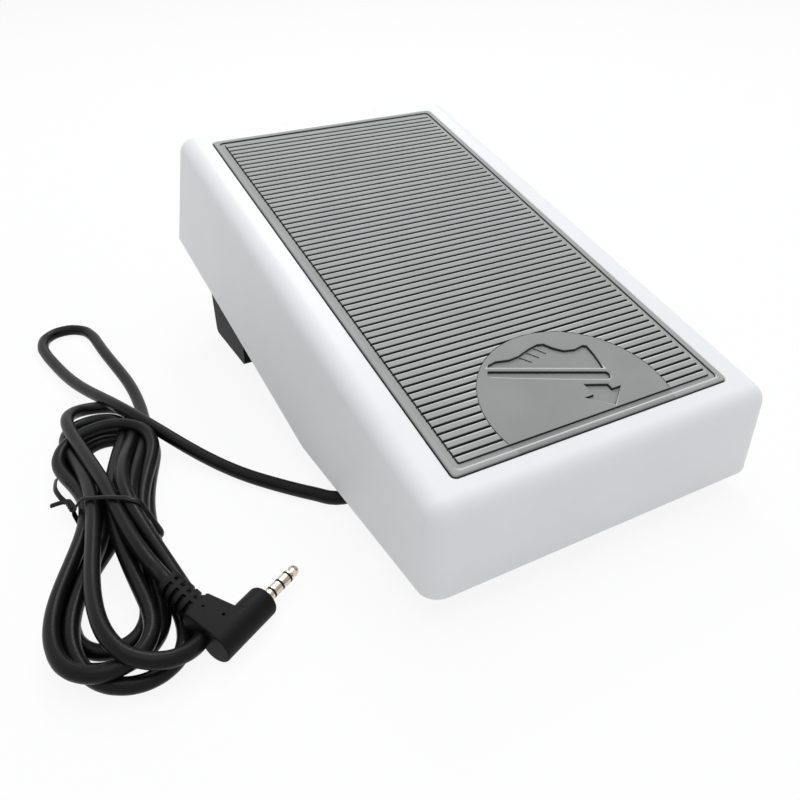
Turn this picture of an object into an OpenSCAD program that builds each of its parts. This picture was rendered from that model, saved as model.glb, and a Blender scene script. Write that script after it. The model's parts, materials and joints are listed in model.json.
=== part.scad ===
// Sewing machine foot pedal: a white cover with a ribbed tread rocks both ways on an axle in a
// black base tray. Springs in the toe legs and at the heel centre it, and a plunger sensor on the
// board reads its angle. The cord ends in a right-angle 3.5 mm plug.
// Millimetres. X is the width, +Y points to the toe end, +Z is up and the floor is Z = 0.

/* [Tread] */
// Width of the tread pad
pad_w = 95; // [88:1:100]
// Length of the tread pad along its slope
pad_l = 179; // [170:1:190]
// Thickness of the tread pad
pad_t = 3; // [2.5:0.1:4]
// How far the tread pad stands above the cover
pad_proud = 0.5; // [0.2:0.1:1]
// Width of the flat strip around the tread
pad_border = 2; // [1.5:0.1:4]
// Width of the channel between that strip and the ribs
channel_w = 1.7; // [1:0.1:2.5]
// Distance from one rib of the tread to the next
rib_pitch = 2.73; // [2.4:0.01:3.6]
// Width of the grooves between the ribs
rib_groove_w = 0.6; // [0.5:0.1:1]
// Depth of the grooves in the tread
rib_groove_d = 0.9; // [0.5:0.1:1.2]
// Radius of the smooth disc at the heel end of the tread
disc_r = 29; // [22:1:34]

/* [Cover] */
// Width of the cover beside the tread, on each side
side_margin = 11; // [10:0.5:14]
// Length of the cover beyond the tread, at each end
end_margin = 9; // [8:0.5:12]
// Thickness of the cover's walls
wall = 2.5; // [2:0.1:3]
// Thickness of the cover's roof under the tread
roof = 2.5; // [2:0.1:3]
// Radius of the cover's outer edges
edge_r = 6; // [4.5:0.5:8]
// Outward lean of the side walls, in degrees
side_lean = 1; // [0.5:0.1:1.5]
// Outward lean of the heel wall, in degrees
heel_lean = 12; // [10:0.5:14]
// Outward lean of the toe wall, in degrees
toe_lean = 14.4; // [12:0.2:16]
// Slope of the tread at rest, in degrees
rest_tilt = 14.5; // [13.5:0.1:15.5]
// Height of the middle of the tread above the floor
tread_z = 62.9; // [60:0.1:66]
// Height of the cover's heel edge above the floor
edge_gap = 8.5; // [8:0.1:10]
// Rise of the cover's toe edge, in degrees
toe_edge_rise = 13.8; // [13:0.1:14.5]
// Distance from the middle of the tread back to the pivot
pivot_back = 12; // [8:0.5:16]
// Depth of the stiffening ribs under the roof
roof_rib_d = 5; // [3:0.5:6]

/* [Base] */
// Gap between the cover's side wall and the base tray
base_gap = 3; // [2.5:0.1:4]
// Height of the underside of the tray at the heel
base_z = 4.5; // [4:0.1:5]
// Thickness of the tray's floor and walls
base_t = 2.5; // [2:0.1:3]
// Height of the tray, from its underside to its rim
base_h = 13.5; // [12:0.5:15]
// Length of a toe leg
leg_l = 36.5; // [35:0.5:38]
// Width of a toe leg
leg_w = 26; // [25:0.5:30]
// Distance from the pivot to the middle of the toe legs
leg_out = 94.2; // [92:0.1:96]
// Height of a leg's rim above the floor, filled by its rubber pad
leg_lift = 0.8; // [0.5:0.1:1.5]
// Diameter of the heel feet
foot_d = 16; // [12:1:18]

/* [Pivot] */
// Diameter of the axle
axle_d = 5; // [4:0.5:6]
// Height of the axle above the floor
axle_z = 16; // [15:0.5:18]
// Thickness of the cover's hinge ears
ear_t = 4; // [3:0.5:5]
// Radial play between the axle and the ears
run_fit = 0.05; // [0.03:0.01:0.1]
// Travel with the toe pressed down, in degrees
toe_travel = 9; // [6:0.5:10]
// Travel with the heel pressed down, in degrees
heel_travel = 3; // [2:0.5:3.5]

/* [Springs] */
// Outside diameter of the springs
spring_d = 13; // [12:0.5:14]
// Diameter of the spring wire
spring_wire = 1.3; // [1:0.1:1.5]
// Height of the toe spring's upper seat at rest
toe_seat_z = 40; // [38:0.5:44]
// Height of the heel spring's upper seat at rest
heel_seat_z = 29; // [27:0.5:31]
// Distance from the pivot back to the heel springs
heel_spring_back = 54; // [50:1:58]

/* [Sensor] */
// Distance from the pivot back to the sensor plunger
sensor_back = 33; // [30:0.5:36]
// Width of the sensor housing
sensor_w = 15; // [14:0.5:17]
// Height of the sensor housing
sensor_h = 14.4; // [13.5:0.1:16]
// Diameter of the sensor plunger
plunger_d = 6; // [5:0.5:7]
// Play between the plunger and the striker at rest
plunger_play = 0.15; // [0.1:0.05:0.3]
// Thickness of the circuit board
board_t = 1.6; // [1:0.1:2]

/* [Cord] */
// Diameter of the cord
cord_d = 4.5; // [4:0.1:5]
// Distance from the pivot back to the cord's way out
gland_back = 28.5; // [27:0.5:31]
// Height of the cord in its gland
gland_z = 5.9; // [5.8:0.1:6.2]
// Thickness of the tied hank
hank_h = 12.5; // [11:0.5:14]

/* [Plug] */
// Diameter of the plug's contact pin
jack_d = 3.5; // [3.4:0.05:3.6]
// Diameter of the plug's barrel
barrel_d = 9; // [8:0.5:10]
// Length of the plug's barrel
barrel_l = 19.5; // [17:0.5:22]

/* [Hidden] */
$fn = 64;
hull_fn = 32;
fit = 0.25;
seat = 0.15;

// Cover: its own frame has the origin at the middle of the top plane, Y along the slope
cover_w = pad_w + 2 * side_margin;
cover_l = pad_l + 2 * end_margin;
recess_d = pad_t - pad_proud;
roof_depth = recess_d + roof;
skirt_depth = 78;

// Middle of a rounding of radius r that touches a wall leaning outward, at a depth below the top
function wall_at(half, lean, depth, r) = half + depth * tan(lean) - r / cos(lean);

// Reach of the cover from the middle of the tread, to the heel and to the toe
toe_drop = (tread_z - edge_gap + cover_l / 2 * sin(rest_tilt)
            - (pivot_back + cover_l / 2 * cos(rest_tilt)) * tan(toe_edge_rise))
           / (cos(rest_tilt) - tan(toe_lean) * sin(rest_tilt)
              + (tan(toe_lean) * cos(rest_tilt) + sin(rest_tilt)) * tan(toe_edge_rise));
toe_reach = (cover_l / 2 + toe_drop * tan(toe_lean)) * cos(rest_tilt) + toe_drop * sin(rest_tilt);
heel_reach = wall_at(cover_l / 2, heel_lean, edge_r, edge_r) * cos(rest_tilt)
             - edge_r * sin(rest_tilt) + edge_r;
tread_y = (heel_reach - toe_reach) / 2;
axle_y = tread_y - pivot_back;

// Point of the part for a point of the cover's side view
function from_cover(along, above) = [tread_y + along * cos(rest_tilt) - above * sin(rest_tilt),
                                     tread_z + along * sin(rest_tilt) + above * cos(rest_tilt)];
// Height of the roof's underside over a place on the floor
function roof_z(y) = tread_z + (y - tread_y) * tan(rest_tilt) - roof_depth / cos(rest_tilt);
// Height that a point of the cover comes to when the toe is pressed down by an angle
function pressed_z(y, z, angle) = axle_z + (z - axle_z) * cos(angle) - (y - axle_y) * sin(angle);

// Base
base_half = cover_w / 2 - wall - base_gap;
floor_top = base_z + base_t;
base_heel_y = tread_y - cover_l / 2 + 11.5;
base_toe_y = tread_y + cover_l / 2 + 7.5;
leg_y = axle_y + leg_out;
leg_x = base_half - leg_w / 2;
leg_floor = 3.5;
leg_round = 2.5;
toe_spring_y = leg_y + 0.5;
heel_spring_y = axle_y - heel_spring_back;
heel_spring_x = base_half - 15;
foot_x = heel_spring_x;
foot_y = base_heel_y + foot_d / 2;
ear_x = base_half - base_t - 4.1 - 0.3 - ear_t / 2;
ear_r = axle_d / 2 + 5;
boss_r = axle_d / 2 + 5.5;

// Springs and stops
post_d = spring_d;
spigot_d = spring_d - 2 * spring_wire - 1.4;
spigot_h = 4;
stop_play = 0.4;
bumper_h = 5;
toe_stop_z = pressed_z(toe_spring_y, toe_seat_z - spigot_h, toe_travel)
             - spigot_d / 2 * sin(toe_travel) - stop_play;
heel_stop_z = pressed_z(heel_spring_y, heel_seat_z - spigot_h, -heel_travel)
              - spigot_d / 2 * sin(heel_travel) - stop_play;

// Board and sensor
board_z = floor_top + 3;
board_top = board_z + board_t;
board_x0 = 29 - base_half;
board_x1 = base_half - 25;
board_y0 = base_heel_y + 10;
board_y1 = axle_y - 15.5;
screw_d = 2.4;
screw_inset = 4;
sensor_y = axle_y - sensor_back;
cavity_d = plunger_d + 4.2;
cavity_z = board_top + 1.2;
lid_z = board_top + sensor_h - 2;
flange_h = 1.5;
flange_top = lid_z - sensor_back * toe_travel * PI / 180 - 0.4;
striker_z = board_top + sensor_h + 5;
striker_h = 3;
stem_d = 4;

// Cord and plug
gland_y = axle_y - gland_back;
gland_out_x = base_half - base_t;
gland_in_x = gland_out_x - 7.5;
tail_end_x = gland_in_x - 14;
gland_neck_d = cord_d + 2.2;
gland_rim_d = gland_neck_d + 1.8;
clamp_x = 1 - (gland_in_x + tail_end_x) / 2;
lead_room = 5.5;
block_w = 15;
wire_d = 1.1;
connector_x = board_x0 + 3;
connector_y = gland_y - 2;

// Route of the free cord: x, y and height of its middle, from the gland to the hank
cord_out = [-gland_out_x - 1.4, gland_y, gland_z];
cord_route = [cord_out, [-55, -52.5, 5], [-58.5, -49.5, 4], [-62, -44.5, 3.2], [-66, -37, 2.6],
              [-76, -19.5, 2.4], [-87, 2, 2.7], [-94, 18, 5], [-99.5, 31, 7], [-105, 44, 6.8],
              [-110.5, 58, 4.6], [-115.5, 73, 2.7], [-119.5, 90, 2.4], [-122.2, 104, 2.4],
              [-122.4, 112.5, 2.4], [-119.6, 119, 2.4], [-114, 122, 2.4], [-108.4, 119.4, 2.4],
              [-104.9, 112.5, 2.4], [-102.6, 102, 2.4], [-100.4, 88, 2.4], [-98.8, 72, 2.4],
              [-98.6, 55, 2.4], [-99.3, 40, 2.4], [-100.8, 28, 2.5], [-103.3, 19, 3.6],
              [-106.6, 11, 5.5]];

// Hank: middle and half width of its toe lobe, its tied waist and its heel lobe
hank_toe = [-118.5, 30, 15.5];
hank_waist = [-121, -20.5, 10.5];
hank_heel = [-133.5, -72, 16];
tie_w = 2.2;
tie_t = 1;
hank_turn = atan2(hank_toe[1] - hank_heel[1], hank_toe[0] - hank_heel[0]) - 90;

// Plug: its own frame has the origin at the barrel's front face, X along the contact pin
plug_at = [-93.8, -79.5];
plug_turn = 30;
plug_lift = 16;
plug_z = barrel_d / 2 + 0.1;
relief_x = -barrel_l * 0.73;
paddle_l = 11.5;
relief_l = 11.5;
core_d = 1.8;
sleeve_l = 2.4;
ring_l = 2.7;
gap_l = 0.7;
tip_l = 4.1;

// Shared shapes

// Solid of a side view, given as points of Y and Z, centred across the width
module side_solid(outline, width) {
    rotate([90, 0, 90]) linear_extrude(height = width, center = true) polygon(outline);
}

// Flat plate with round corners, standing on its base plane
module plate(width, length, corner, height) {
    linear_extrude(height = height) {
        square([width - 2 * corner, length], center = true);
        square([width, length - 2 * corner], center = true);
        for (x = [-1, 1], y = [-1, 1])
            translate([x * (width / 2 - corner), y * (length / 2 - corner)]) circle(corner);
    }
}

// Children placed on both sides of the middle
module both_sides(x, y, z) {
    for (side = [-1, 1]) translate([side * x, y, z]) children();
}

// Children placed in the cover's frame
module in_cover() {
    translate([0, tread_y, tread_z]) rotate([rest_tilt, 0, 0]) children();
}

// Cylinder along the width
module cross_cylinder(diameter, length) {
    rotate([0, 90, 0]) cylinder(d = diameter, h = length, center = true);
}

// Point on a smooth curve through four points, part of the way from the second to the third
function curve_point(a, b, c, d, t) =
    0.5 * (2 * b + (c - a) * t + (2 * a - 5 * b + 4 * c - d) * t * t
           + (3 * b - a - 3 * c + d) * t * t * t);
// Smooth curve through a list of points
function smooth(points, steps) =
    let (last = len(points) - 1)
    concat([for (i = [0 : last - 1], s = [0 : steps - 1])
                curve_point(points[max(i - 1, 0)], points[i], points[i + 1],
                            points[min(i + 2, last)], s / steps)],
           [points[last]]);
function unit(v) = v / norm(v);
// Direction of a line of points at one of them
function heading(points, i) =
    unit(points[min(i + 1, len(points) - 1)] - points[max(i - 1, 0)]);
// Ring of points around a line of points
function ring(points, i, r, sides) =
    let (ahead = heading(points, i),
         across = unit(cross(ahead, abs(ahead[2]) > 0.9 ? [1, 0, 0] : [0, 0, 1])),
         up = cross(across, ahead))
    [for (s = [0 : sides - 1])
        points[i] + r * (across * cos(360 * s / sides) + up * sin(360 * s / sides))];

// Round tube along a line of points
module tube(points, diameter, sides) {
    count = len(points);
    corners = [for (i = [0 : count - 1]) each ring(points, i, diameter / 2, sides)];
    skin = [for (i = [0 : count - 2], s = [0 : sides - 1])
                [i * sides + s, i * sides + (s + 1) % sides,
                 (i + 1) * sides + (s + 1) % sides, (i + 1) * sides + s]];
    first = [for (s = [0 : sides - 1]) sides - 1 - s];
    last = [for (s = [0 : sides - 1]) (count - 1) * sides + s];
    polyhedron(points = corners, faces = concat([first], skin, [last]), convexity = 6);
}

// Height of a spring's wire after some turns: one flat turn at each end, even pitch between
function coil_rise(turn, turns, wire, length) =
    let (flat = wire * 1.05, pitch = (length - wire - 2 * flat) / (turns - 2))
    turn < 1 ? flat * turn
             : turn > turns - 1 ? length - wire - flat * (turns - turn)
                                : flat + pitch * (turn - 1);

// Compression spring standing on its base plane
module coil(diameter, wire, turns, length, per_turn) {
    r = (diameter - wire) / 2;
    tube([for (i = [0 : turns * per_turn])
            [r * cos(360 * i / per_turn), r * sin(360 * i / per_turn),
             wire / 2 + coil_rise(i / per_turn, turns, wire, length)]], wire, 6);
}

// Pan-head screw, its shank pointing down from the base plane
module pan_screw(shank_d, shank_l) {
    cylinder(d = shank_d * 2.1, h = 1.2);
    translate([0, 0, 1.2]) cylinder(d1 = shank_d * 2.1, d2 = shank_d * 1.5, h = 0.6);
    translate([0, 0, -shank_l]) cylinder(d = shank_d, h = shank_l + 0.1);
}

// Rocking cover

// Block with rounded edges whose walls lean as the cover's do
module leaning_block(inset, top, r) {
    hull() for (side = [-1, 1], depth = [top + r, skirt_depth]) {
        x = side * wall_at(cover_w / 2 - inset, side_lean, depth, r);
        for (y = [wall_at(cover_l / 2 - inset, toe_lean, depth, r),
                  -wall_at(cover_l / 2 - inset, heel_lean, depth, r)])
            translate([x, y, -depth]) sphere(r, $fn = hull_fn);
    }
}

// Space above the cover's bent lower edge
module above_edge() {
    far_y = axle_y + 200;
    side_solid([[axle_y - 200, edge_gap], [axle_y, edge_gap],
                [far_y, edge_gap + 200 * tan(toe_edge_rise)],
                [far_y, 2 * tread_z], [axle_y - 200, 2 * tread_z]], cover_w * 2);
}

module cover_shell() {
    intersection() {
        above_edge();
        difference() {
            in_cover() leaning_block(0, 0, edge_r);
            in_cover() leaning_block(wall, roof_depth, edge_r - wall);
        }
    }
}

// Ribs that stiffen the roof: two along, the others across
module roof_ribs() {
    top = -roof_depth + 0.5;
    rib_t = 1.8;
    in_cover() {
        both_sides(22, 0, top - roof_rib_d)
            translate([-rib_t / 2, -cover_l / 2 + wall, 0])
                cube([rib_t, cover_l - 2 * wall, roof_rib_d]);
        for (y = [-0.36, -0.12, 0.06, 0.2, 0.36] * cover_l)
            translate([-cover_w / 2 + wall, y, top - roof_rib_d])
                cube([cover_w - 2 * wall, rib_t, roof_rib_d]);
    }
}

// Ear that hangs from the roof and snaps over the axle
module hinge_ear() {
    side_solid([[axle_y - ear_r, axle_z], [axle_y + ear_r, axle_z],
                from_cover(6, -roof_depth + 1), from_cover(-30, -roof_depth + 1)], ear_t);
    translate([0, axle_y, axle_z]) cross_cylinder(2 * ear_r, ear_t);
}

// Post under the roof that pushes on a spring
module spring_post(y, seat_z) {
    translate([0, y, seat_z]) cylinder(d = post_d, h = roof_z(y) - seat_z + 2);
    translate([0, y, seat_z - spigot_h]) cylinder(d = spigot_d, h = spigot_h + 1);
}

// Running bore of an ear, open below so that the ear snaps on
module axle_snap() {
    mouth = axle_d * 0.84;
    translate([0, axle_y, axle_z]) cross_cylinder(axle_d + 2 * run_fit, ear_t + 2);
    translate([-ear_t / 2 - 1, axle_y - mouth / 2, axle_z - ear_r - 1])
        cube([ear_t + 2, mouth, ear_r + 1]);
}

module pedal_cover() {
    striker_top = striker_z + striker_h;
    color("white") difference() {
        union() {
            cover_shell();
            roof_ribs();
            both_sides(ear_x, 0, 0) hinge_ear();
            both_sides(leg_x, 0, 0) spring_post(toe_spring_y, toe_seat_z);
            both_sides(heel_spring_x, 0, 0) spring_post(heel_spring_y, heel_seat_z);
            translate([0, sensor_y, striker_top])
                cylinder(d = stem_d + 5, h = roof_z(sensor_y) - striker_top + 2);
        }
        in_cover() translate([0, 0, -recess_d])
            plate(pad_w + 2 * fit, pad_l + 2 * fit, 1.5 + fit, recess_d + 10);
        both_sides(ear_x, 0, 0) axle_snap();
        translate([0, sensor_y, striker_top - 1]) cylinder(d = stem_d, h = 7);
    }
}

// Ribbed tread with a smooth disc at the heel for the foot sign
module tread_pad() {
    ring_w = pad_w - 2 * pad_border;
    ring_l = pad_l - 2 * pad_border;
    field_w = ring_w - 2 * channel_w;
    field_l = ring_l - 2 * channel_w;
    disc_y = -field_l / 2 + 6.7;
    groove_z = pad_proud - rib_groove_d;
    spans = round((field_l + rib_groove_w) / rib_pitch);
    color("darkgray") in_cover() difference() {
        translate([0, 0, -recess_d]) plate(pad_w, pad_l, 1.5, pad_t);
        translate([0, 0, groove_z]) difference() {
            plate(ring_w, ring_l, 1.4, 2);
            translate([0, 0, -1]) plate(field_w, field_l, 0.5, 4);
        }
        for (i = [1 : spans - 1]) {
            y = (i / spans - 0.5) * (field_l + rib_groove_w);
            inside = abs(y - disc_y) < disc_r ? sqrt(pow(disc_r, 2) - pow(y - disc_y, 2)) : 0;
            both_sides((inside + field_w / 2) / 2, y, groove_z + 1)
                cube([field_w / 2 - inside + 0.5, rib_groove_w, 2], center = true);
        }
    }
}

// Slippery foot that presses on the sensor plunger
module sensor_striker() {
    color("ivory") translate([0, sensor_y, striker_z]) {
        cylinder(d = 14, h = striker_h);
        cylinder(d = stem_d, h = striker_h + 5);
    }
}

// Base

// Side view of the tray: flat under the heel, then rising with the cover's toe edge
function tray_outline(lift, heel_y, toe_y, height) =
    let (bend_z = base_z + lift, rise = tan(toe_edge_rise))
    [[heel_y, bend_z], [axle_y, bend_z], [toe_y, bend_z + (toe_y - axle_y) * rise],
     [toe_y, bend_z + height + (toe_y - axle_y) * rise], [axle_y, bend_z + height],
     [heel_y, bend_z + height]];

module tray_solid(inset, lift, height) {
    heel_y = base_heel_y + inset;
    toe_y = base_toe_y - inset;
    intersection() {
        side_solid(tray_outline(lift, heel_y, toe_y, height), 2 * (base_half - inset));
        translate([0, (heel_y + toe_y) / 2, 0])
            plate(2 * (base_half - inset), toe_y - heel_y, 6 - inset, 2 * tread_z);
    }
}

// Height of the tray floor's underside over a place beyond the pivot
function tray_z(y) = base_z + (y - axle_y) * tan(toe_edge_rise);

// Leg with round lower corners, reaching up into the tray
module leg_outside() {
    top = tray_z(leg_y) + base_t;
    rotate([90, 0, 90]) linear_extrude(height = leg_w, center = true) {
        translate([leg_y - leg_l / 2, leg_lift + leg_round])
            square([leg_l, top - leg_lift - leg_round]);
        translate([leg_y - leg_l / 2 + leg_round, leg_lift])
            square([leg_l - 2 * leg_round, leg_round + 1]);
        for (end = [-1, 1])
            translate([leg_y + end * (leg_l / 2 - leg_round), leg_lift + leg_round])
                circle(leg_round);
    }
}

// Hollow of a leg: the well of its spring above, and the seat of its rubber pad below
module leg_inside() {
    translate([0, leg_y, leg_floor])
        plate(leg_w - 2 * base_t, leg_l - 2 * base_t, 2, tray_z(leg_y + leg_l));
    translate([0, leg_y, 0]) plate(leg_w - 7 + 2 * seat, leg_l - 7 + 2 * seat, 2 + seat, 2);
}

// Post that carries a rubber bumper inside a spring
module stop_post(y, z, stop_z) {
    translate([0, y, z - 0.5]) difference() {
        cylinder(d = spigot_d - 1, h = stop_z - bumper_h - z + 0.5);
        translate([0, 0, stop_z - bumper_h - z - 4]) cylinder(d = 3, h = 10);
    }
}

module axle_boss() {
    boss_t = base_t + 4.1;
    side_solid([[axle_y - boss_r, floor_top - 1], [axle_y + boss_r, floor_top - 1],
                [axle_y + boss_r, axle_z], [axle_y - boss_r, axle_z]], boss_t);
    translate([0, axle_y, axle_z]) cross_cylinder(2 * boss_r, boss_t);
}

// Children placed at the corners of the circuit board
module board_corners(z) {
    for (x = [board_x0 + screw_inset, board_x1 - screw_inset],
         y = [board_y0 + screw_inset, board_y1 - screw_inset])
        translate([x, y, z]) children();
}

// Children placed at the two screws of the cord clamp
module clamp_corners(z) {
    for (side = [-1, 1]) translate([clamp_x, gland_y + side * 5, z]) children();
}

// Block under the tray's floor that holds the gland and the end of the cord
module gland_block() {
    translate([-gland_out_x - 1, gland_y - block_w / 2, 1.2])
        cube([gland_out_x - tail_end_x + lead_room + 1, block_w, floor_top + 3.5 - 1.2]);
}

module gland_cuts() {
    notch_w = block_w - 3;
    translate([-base_half - 1, gland_y - notch_w / 2, 0])
        cube([base_half - gland_out_x + 1, notch_w, gland_z + gland_rim_d / 2 + 1]);
    translate([-gland_out_x + 4, gland_y, gland_z]) cross_cylinder(gland_neck_d, 12);
    translate([-gland_in_x, gland_y - block_w / 2 - 1, floor_top])
        cube([gland_in_x - tail_end_x + lead_room + 1, block_w + 2, 20]);
    translate([-gland_in_x, gland_y - gland_rim_d / 2 - 0.2, gland_z - gland_rim_d / 2])
        cube([2, gland_rim_d + 0.4, 20]);
    translate([-gland_in_x - 0.5, gland_y - cord_d / 2 - seat, gland_z - cord_d / 2])
        cube([gland_in_x - tail_end_x + 1, cord_d + 2 * seat, 20]);
    translate([-tail_end_x, gland_y - cord_d, gland_z - cord_d / 2])
        cube([lead_room - 1, 2 * cord_d, 20]);
}

module base_tray() {
    color("dimgray") difference() {
        union() {
            difference() {
                union() {
                    tray_solid(0, 0, base_h);
                    both_sides(leg_x, 0, 0) leg_outside();
                }
                tray_solid(base_t, base_t, base_h + 1);
                both_sides(leg_x, 0, 0) leg_inside();
            }
            both_sides(base_half - (base_t + 4.1) / 2, 0, 0) axle_boss();
            both_sides(leg_x, 0, 0) stop_post(toe_spring_y, leg_floor, toe_stop_z);
            both_sides(heel_spring_x, 0, 0) stop_post(heel_spring_y, floor_top, heel_stop_z);
            board_corners(floor_top - 0.5) cylinder(d = 6, h = board_z - floor_top + 0.5);
            for (y = [axle_y + 24, axle_y + 50])
                translate([-base_half + 1, y, tray_z(y) + base_t - 1])
                    cube([2 * base_half - 2, 2, 6]);
            gland_block();
        }
        gland_cuts();
        translate([0, axle_y, axle_z]) cross_cylinder(axle_d, 3 * base_half);
        both_sides(foot_x, foot_y, 0) cylinder(d = foot_d + 2 * seat, h = base_z + 1);
        board_corners(base_z + 1) cylinder(d = screw_d, h = 20);
        clamp_corners(base_z - 1) cylinder(d = screw_d, h = 20);
    }
}

module pivot_axle() {
    body_l = 2 * base_half - 1;
    color("silver") translate([0, axle_y, axle_z]) rotate([0, 90, 0]) {
        cylinder(d = axle_d, h = body_l, center = true);
        for (end = [0, 180]) rotate([end, 0, 0])
            translate([0, 0, body_l / 2]) cylinder(d1 = axle_d, d2 = axle_d - 1, h = 0.5);
    }
}

module toe_springs() {
    color("silver") both_sides(leg_x, toe_spring_y, leg_floor)
        coil(spring_d, spring_wire, 8, toe_seat_z - leg_floor, 12);
}

module heel_springs() {
    color("silver") both_sides(heel_spring_x, heel_spring_y, floor_top)
        coil(spring_d, spring_wire, 6, heel_seat_z - floor_top, 12);
}

// Rubber bumper with a stem, standing on its post
module bumper(stop_z) {
    translate([0, 0, stop_z - bumper_h]) {
        cylinder(d = spigot_d - 1, h = bumper_h - 1);
        translate([0, 0, bumper_h - 1])
            cylinder(d1 = spigot_d - 1, d2 = spigot_d - 3, h = 1);
        translate([0, 0, -3.5]) cylinder(d = 3, h = 4);
    }
}

module stop_bumpers() {
    color("black") {
        both_sides(leg_x, toe_spring_y, 0) bumper(toe_stop_z);
        both_sides(heel_spring_x, heel_spring_y, 0) bumper(heel_stop_z);
    }
}

module heel_feet() {
    color("black") both_sides(foot_x, foot_y, 0) {
        cylinder(d1 = foot_d - 2, d2 = foot_d, h = 1);
        translate([0, 0, 1]) cylinder(d = foot_d, h = base_z);
    }
}

module toe_feet() {
    color("black") both_sides(leg_x, leg_y, 0) plate(leg_w - 7, leg_l - 7, 2, 2);
}

// Board and sensor

module circuit_board() {
    color("darkgreen") difference() {
        translate([(board_x0 + board_x1) / 2, (board_y0 + board_y1) / 2, board_z])
            plate(board_x1 - board_x0, board_y1 - board_y0, 2, board_t);
        board_corners(board_z - 1) cylinder(d = screw_d + 0.4, h = board_t + 2);
    }
}

module board_screws() {
    color("silver") board_corners(board_top) pan_screw(screw_d, board_t + 4);
}

module sensor_housing() {
    color("black") translate([0, sensor_y, board_top]) difference() {
        plate(sensor_w, sensor_w, 1, sensor_h);
        translate([0, 0, cavity_z - board_top]) cylinder(d = cavity_d, h = lid_z - cavity_z);
        cylinder(d = plunger_d + 0.2, h = sensor_h + 1);
    }
}

module sensor_plunger() {
    shaft_top = striker_z - plunger_play - plunger_d / 2;
    color("ivory") translate([0, sensor_y, 0]) {
        translate([0, 0, flange_top - flange_h]) cylinder(d = cavity_d - 0.8, h = flange_h);
        translate([0, 0, flange_top - 0.1]) cylinder(d = plunger_d, h = shaft_top - flange_top + 0.1);
        translate([0, 0, shaft_top]) sphere(d = plunger_d);
    }
}

module sensor_spring() {
    color("silver") translate([0, sensor_y, cavity_z])
        coil(cavity_d - 1.4, 0.4, 5, flange_top - flange_h - cavity_z, 12);
}

module lead_connector() {
    color("ivory") translate([connector_x, connector_y - 6, board_top]) difference() {
        cube([7, 12, 6.5]);
        translate([2.2, 1, 3]) cube([3.8, 10, 4]);
    }
}

// Four leads that come out of the cord in a square and fan out to the connector
module lead_wires() {
    twin = wire_d * 0.56;
    color("red") for (i = [0 : 3]) {
        upper = i % 2 == 1;
        fan = i - 1.5;
        y = gland_y + (i < 2 ? -twin : twin);
        z = gland_z + (upper ? twin : -twin);
        rise_x = -tail_end_x + (upper ? 1.6 : 3.2);
        end_y = connector_y + fan * 2.4;
        tube(smooth([[-tail_end_x + 0.06, y, z], [rise_x - 0.7, y, z],
                     [rise_x, (y + gland_y + fan * 1.6) / 2, z + 1.5],
                     [rise_x, (gland_y + fan * 1.6 + end_y) / 2, board_z],
                     [rise_x + 0.8, end_y, board_top + 1.4],
                     [connector_x, end_y, board_top + 2]], 2), wire_d, 6);
    }
}

// Cord and its fastening

module cord_clamp() {
    color("dimgray") difference() {
        translate([clamp_x, gland_y, floor_top]) plate(9, block_w, 1.5, 2.2);
        translate([clamp_x, gland_y, gland_z]) cross_cylinder(cord_d, 20);
        clamp_corners(floor_top - 1) cylinder(d = screw_d + 0.4, h = 5);
    }
}

module clamp_screws() {
    color("silver") clamp_corners(floor_top + 2.2) pan_screw(screw_d, 2.2 + 4);
}

// Rubber grommet with a rim on each side of the block's wall
module cord_gland() {
    color("black") translate([0, gland_y, gland_z]) difference() {
        union() {
            translate([-(gland_out_x + gland_in_x) / 2, 0, 0])
                cross_cylinder(gland_neck_d, gland_out_x - gland_in_x + 2);
            translate([-gland_out_x - 0.7, 0, 0]) cross_cylinder(gland_rim_d, 1.4);
            translate([-gland_in_x + 0.7, 0, 0]) cross_cylinder(gland_rim_d, 1.4);
        }
        translate([-gland_out_x, 0, 0]) cross_cylinder(cord_d, 40);
    }
}

// End of the cord inside the base
module cord_tail() {
    start = gland_out_x + 1.4;
    color("black") translate([-(start + tail_end_x) / 2, gland_y, gland_z])
        cross_cylinder(cord_d, start - tail_end_x);
}

module cord() {
    color("black") tube(smooth(cord_route, 3), cord_d, 8);
}

// Outline of the hank from one of its lobes to the waist
module hank_half(lobe) {
    hull() {
        translate([lobe[0], lobe[1]]) circle(lobe[2], $fn = hull_fn);
        translate([hank_waist[0], hank_waist[1]]) circle(hank_waist[2], $fn = hull_fn);
    }
}

module cord_hank() {
    color("black") translate([0, 0, tie_t + 0.1]) linear_extrude(height = hank_h) {
        hank_half(hank_toe);
        hank_half(hank_heel);
    }
}

// Wire tie around the waist, with its twisted ends
module twist_tie() {
    half = hank_waist[2] + 0.4;
    color("black") translate([hank_waist[0], hank_waist[1], 0]) rotate([0, 0, hank_turn]) {
        translate([0, 0, tie_t + 0.1 + hank_h / 2]) difference() {
            cube([2 * (half + tie_t), tie_w, hank_h + 2 * tie_t], center = true);
            cube([2 * half, tie_w + 1, hank_h], center = true);
        }
        for (lean = [20, -20])
            translate([-half, 0, hank_h / 2]) rotate([0, -90, lean]) cylinder(d = 1.6, h = 12);
    }
}

// Plug

module in_plug() {
    translate([plug_at[0], plug_at[1], plug_z]) rotate([plug_lift, 0, plug_turn]) children();
}

// Round bar along the contact pin
module pin_bar(from, to, diameter) {
    translate([from, 0, 0]) rotate([0, 90, 0]) cylinder(d = diameter, h = to - from);
}

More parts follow.
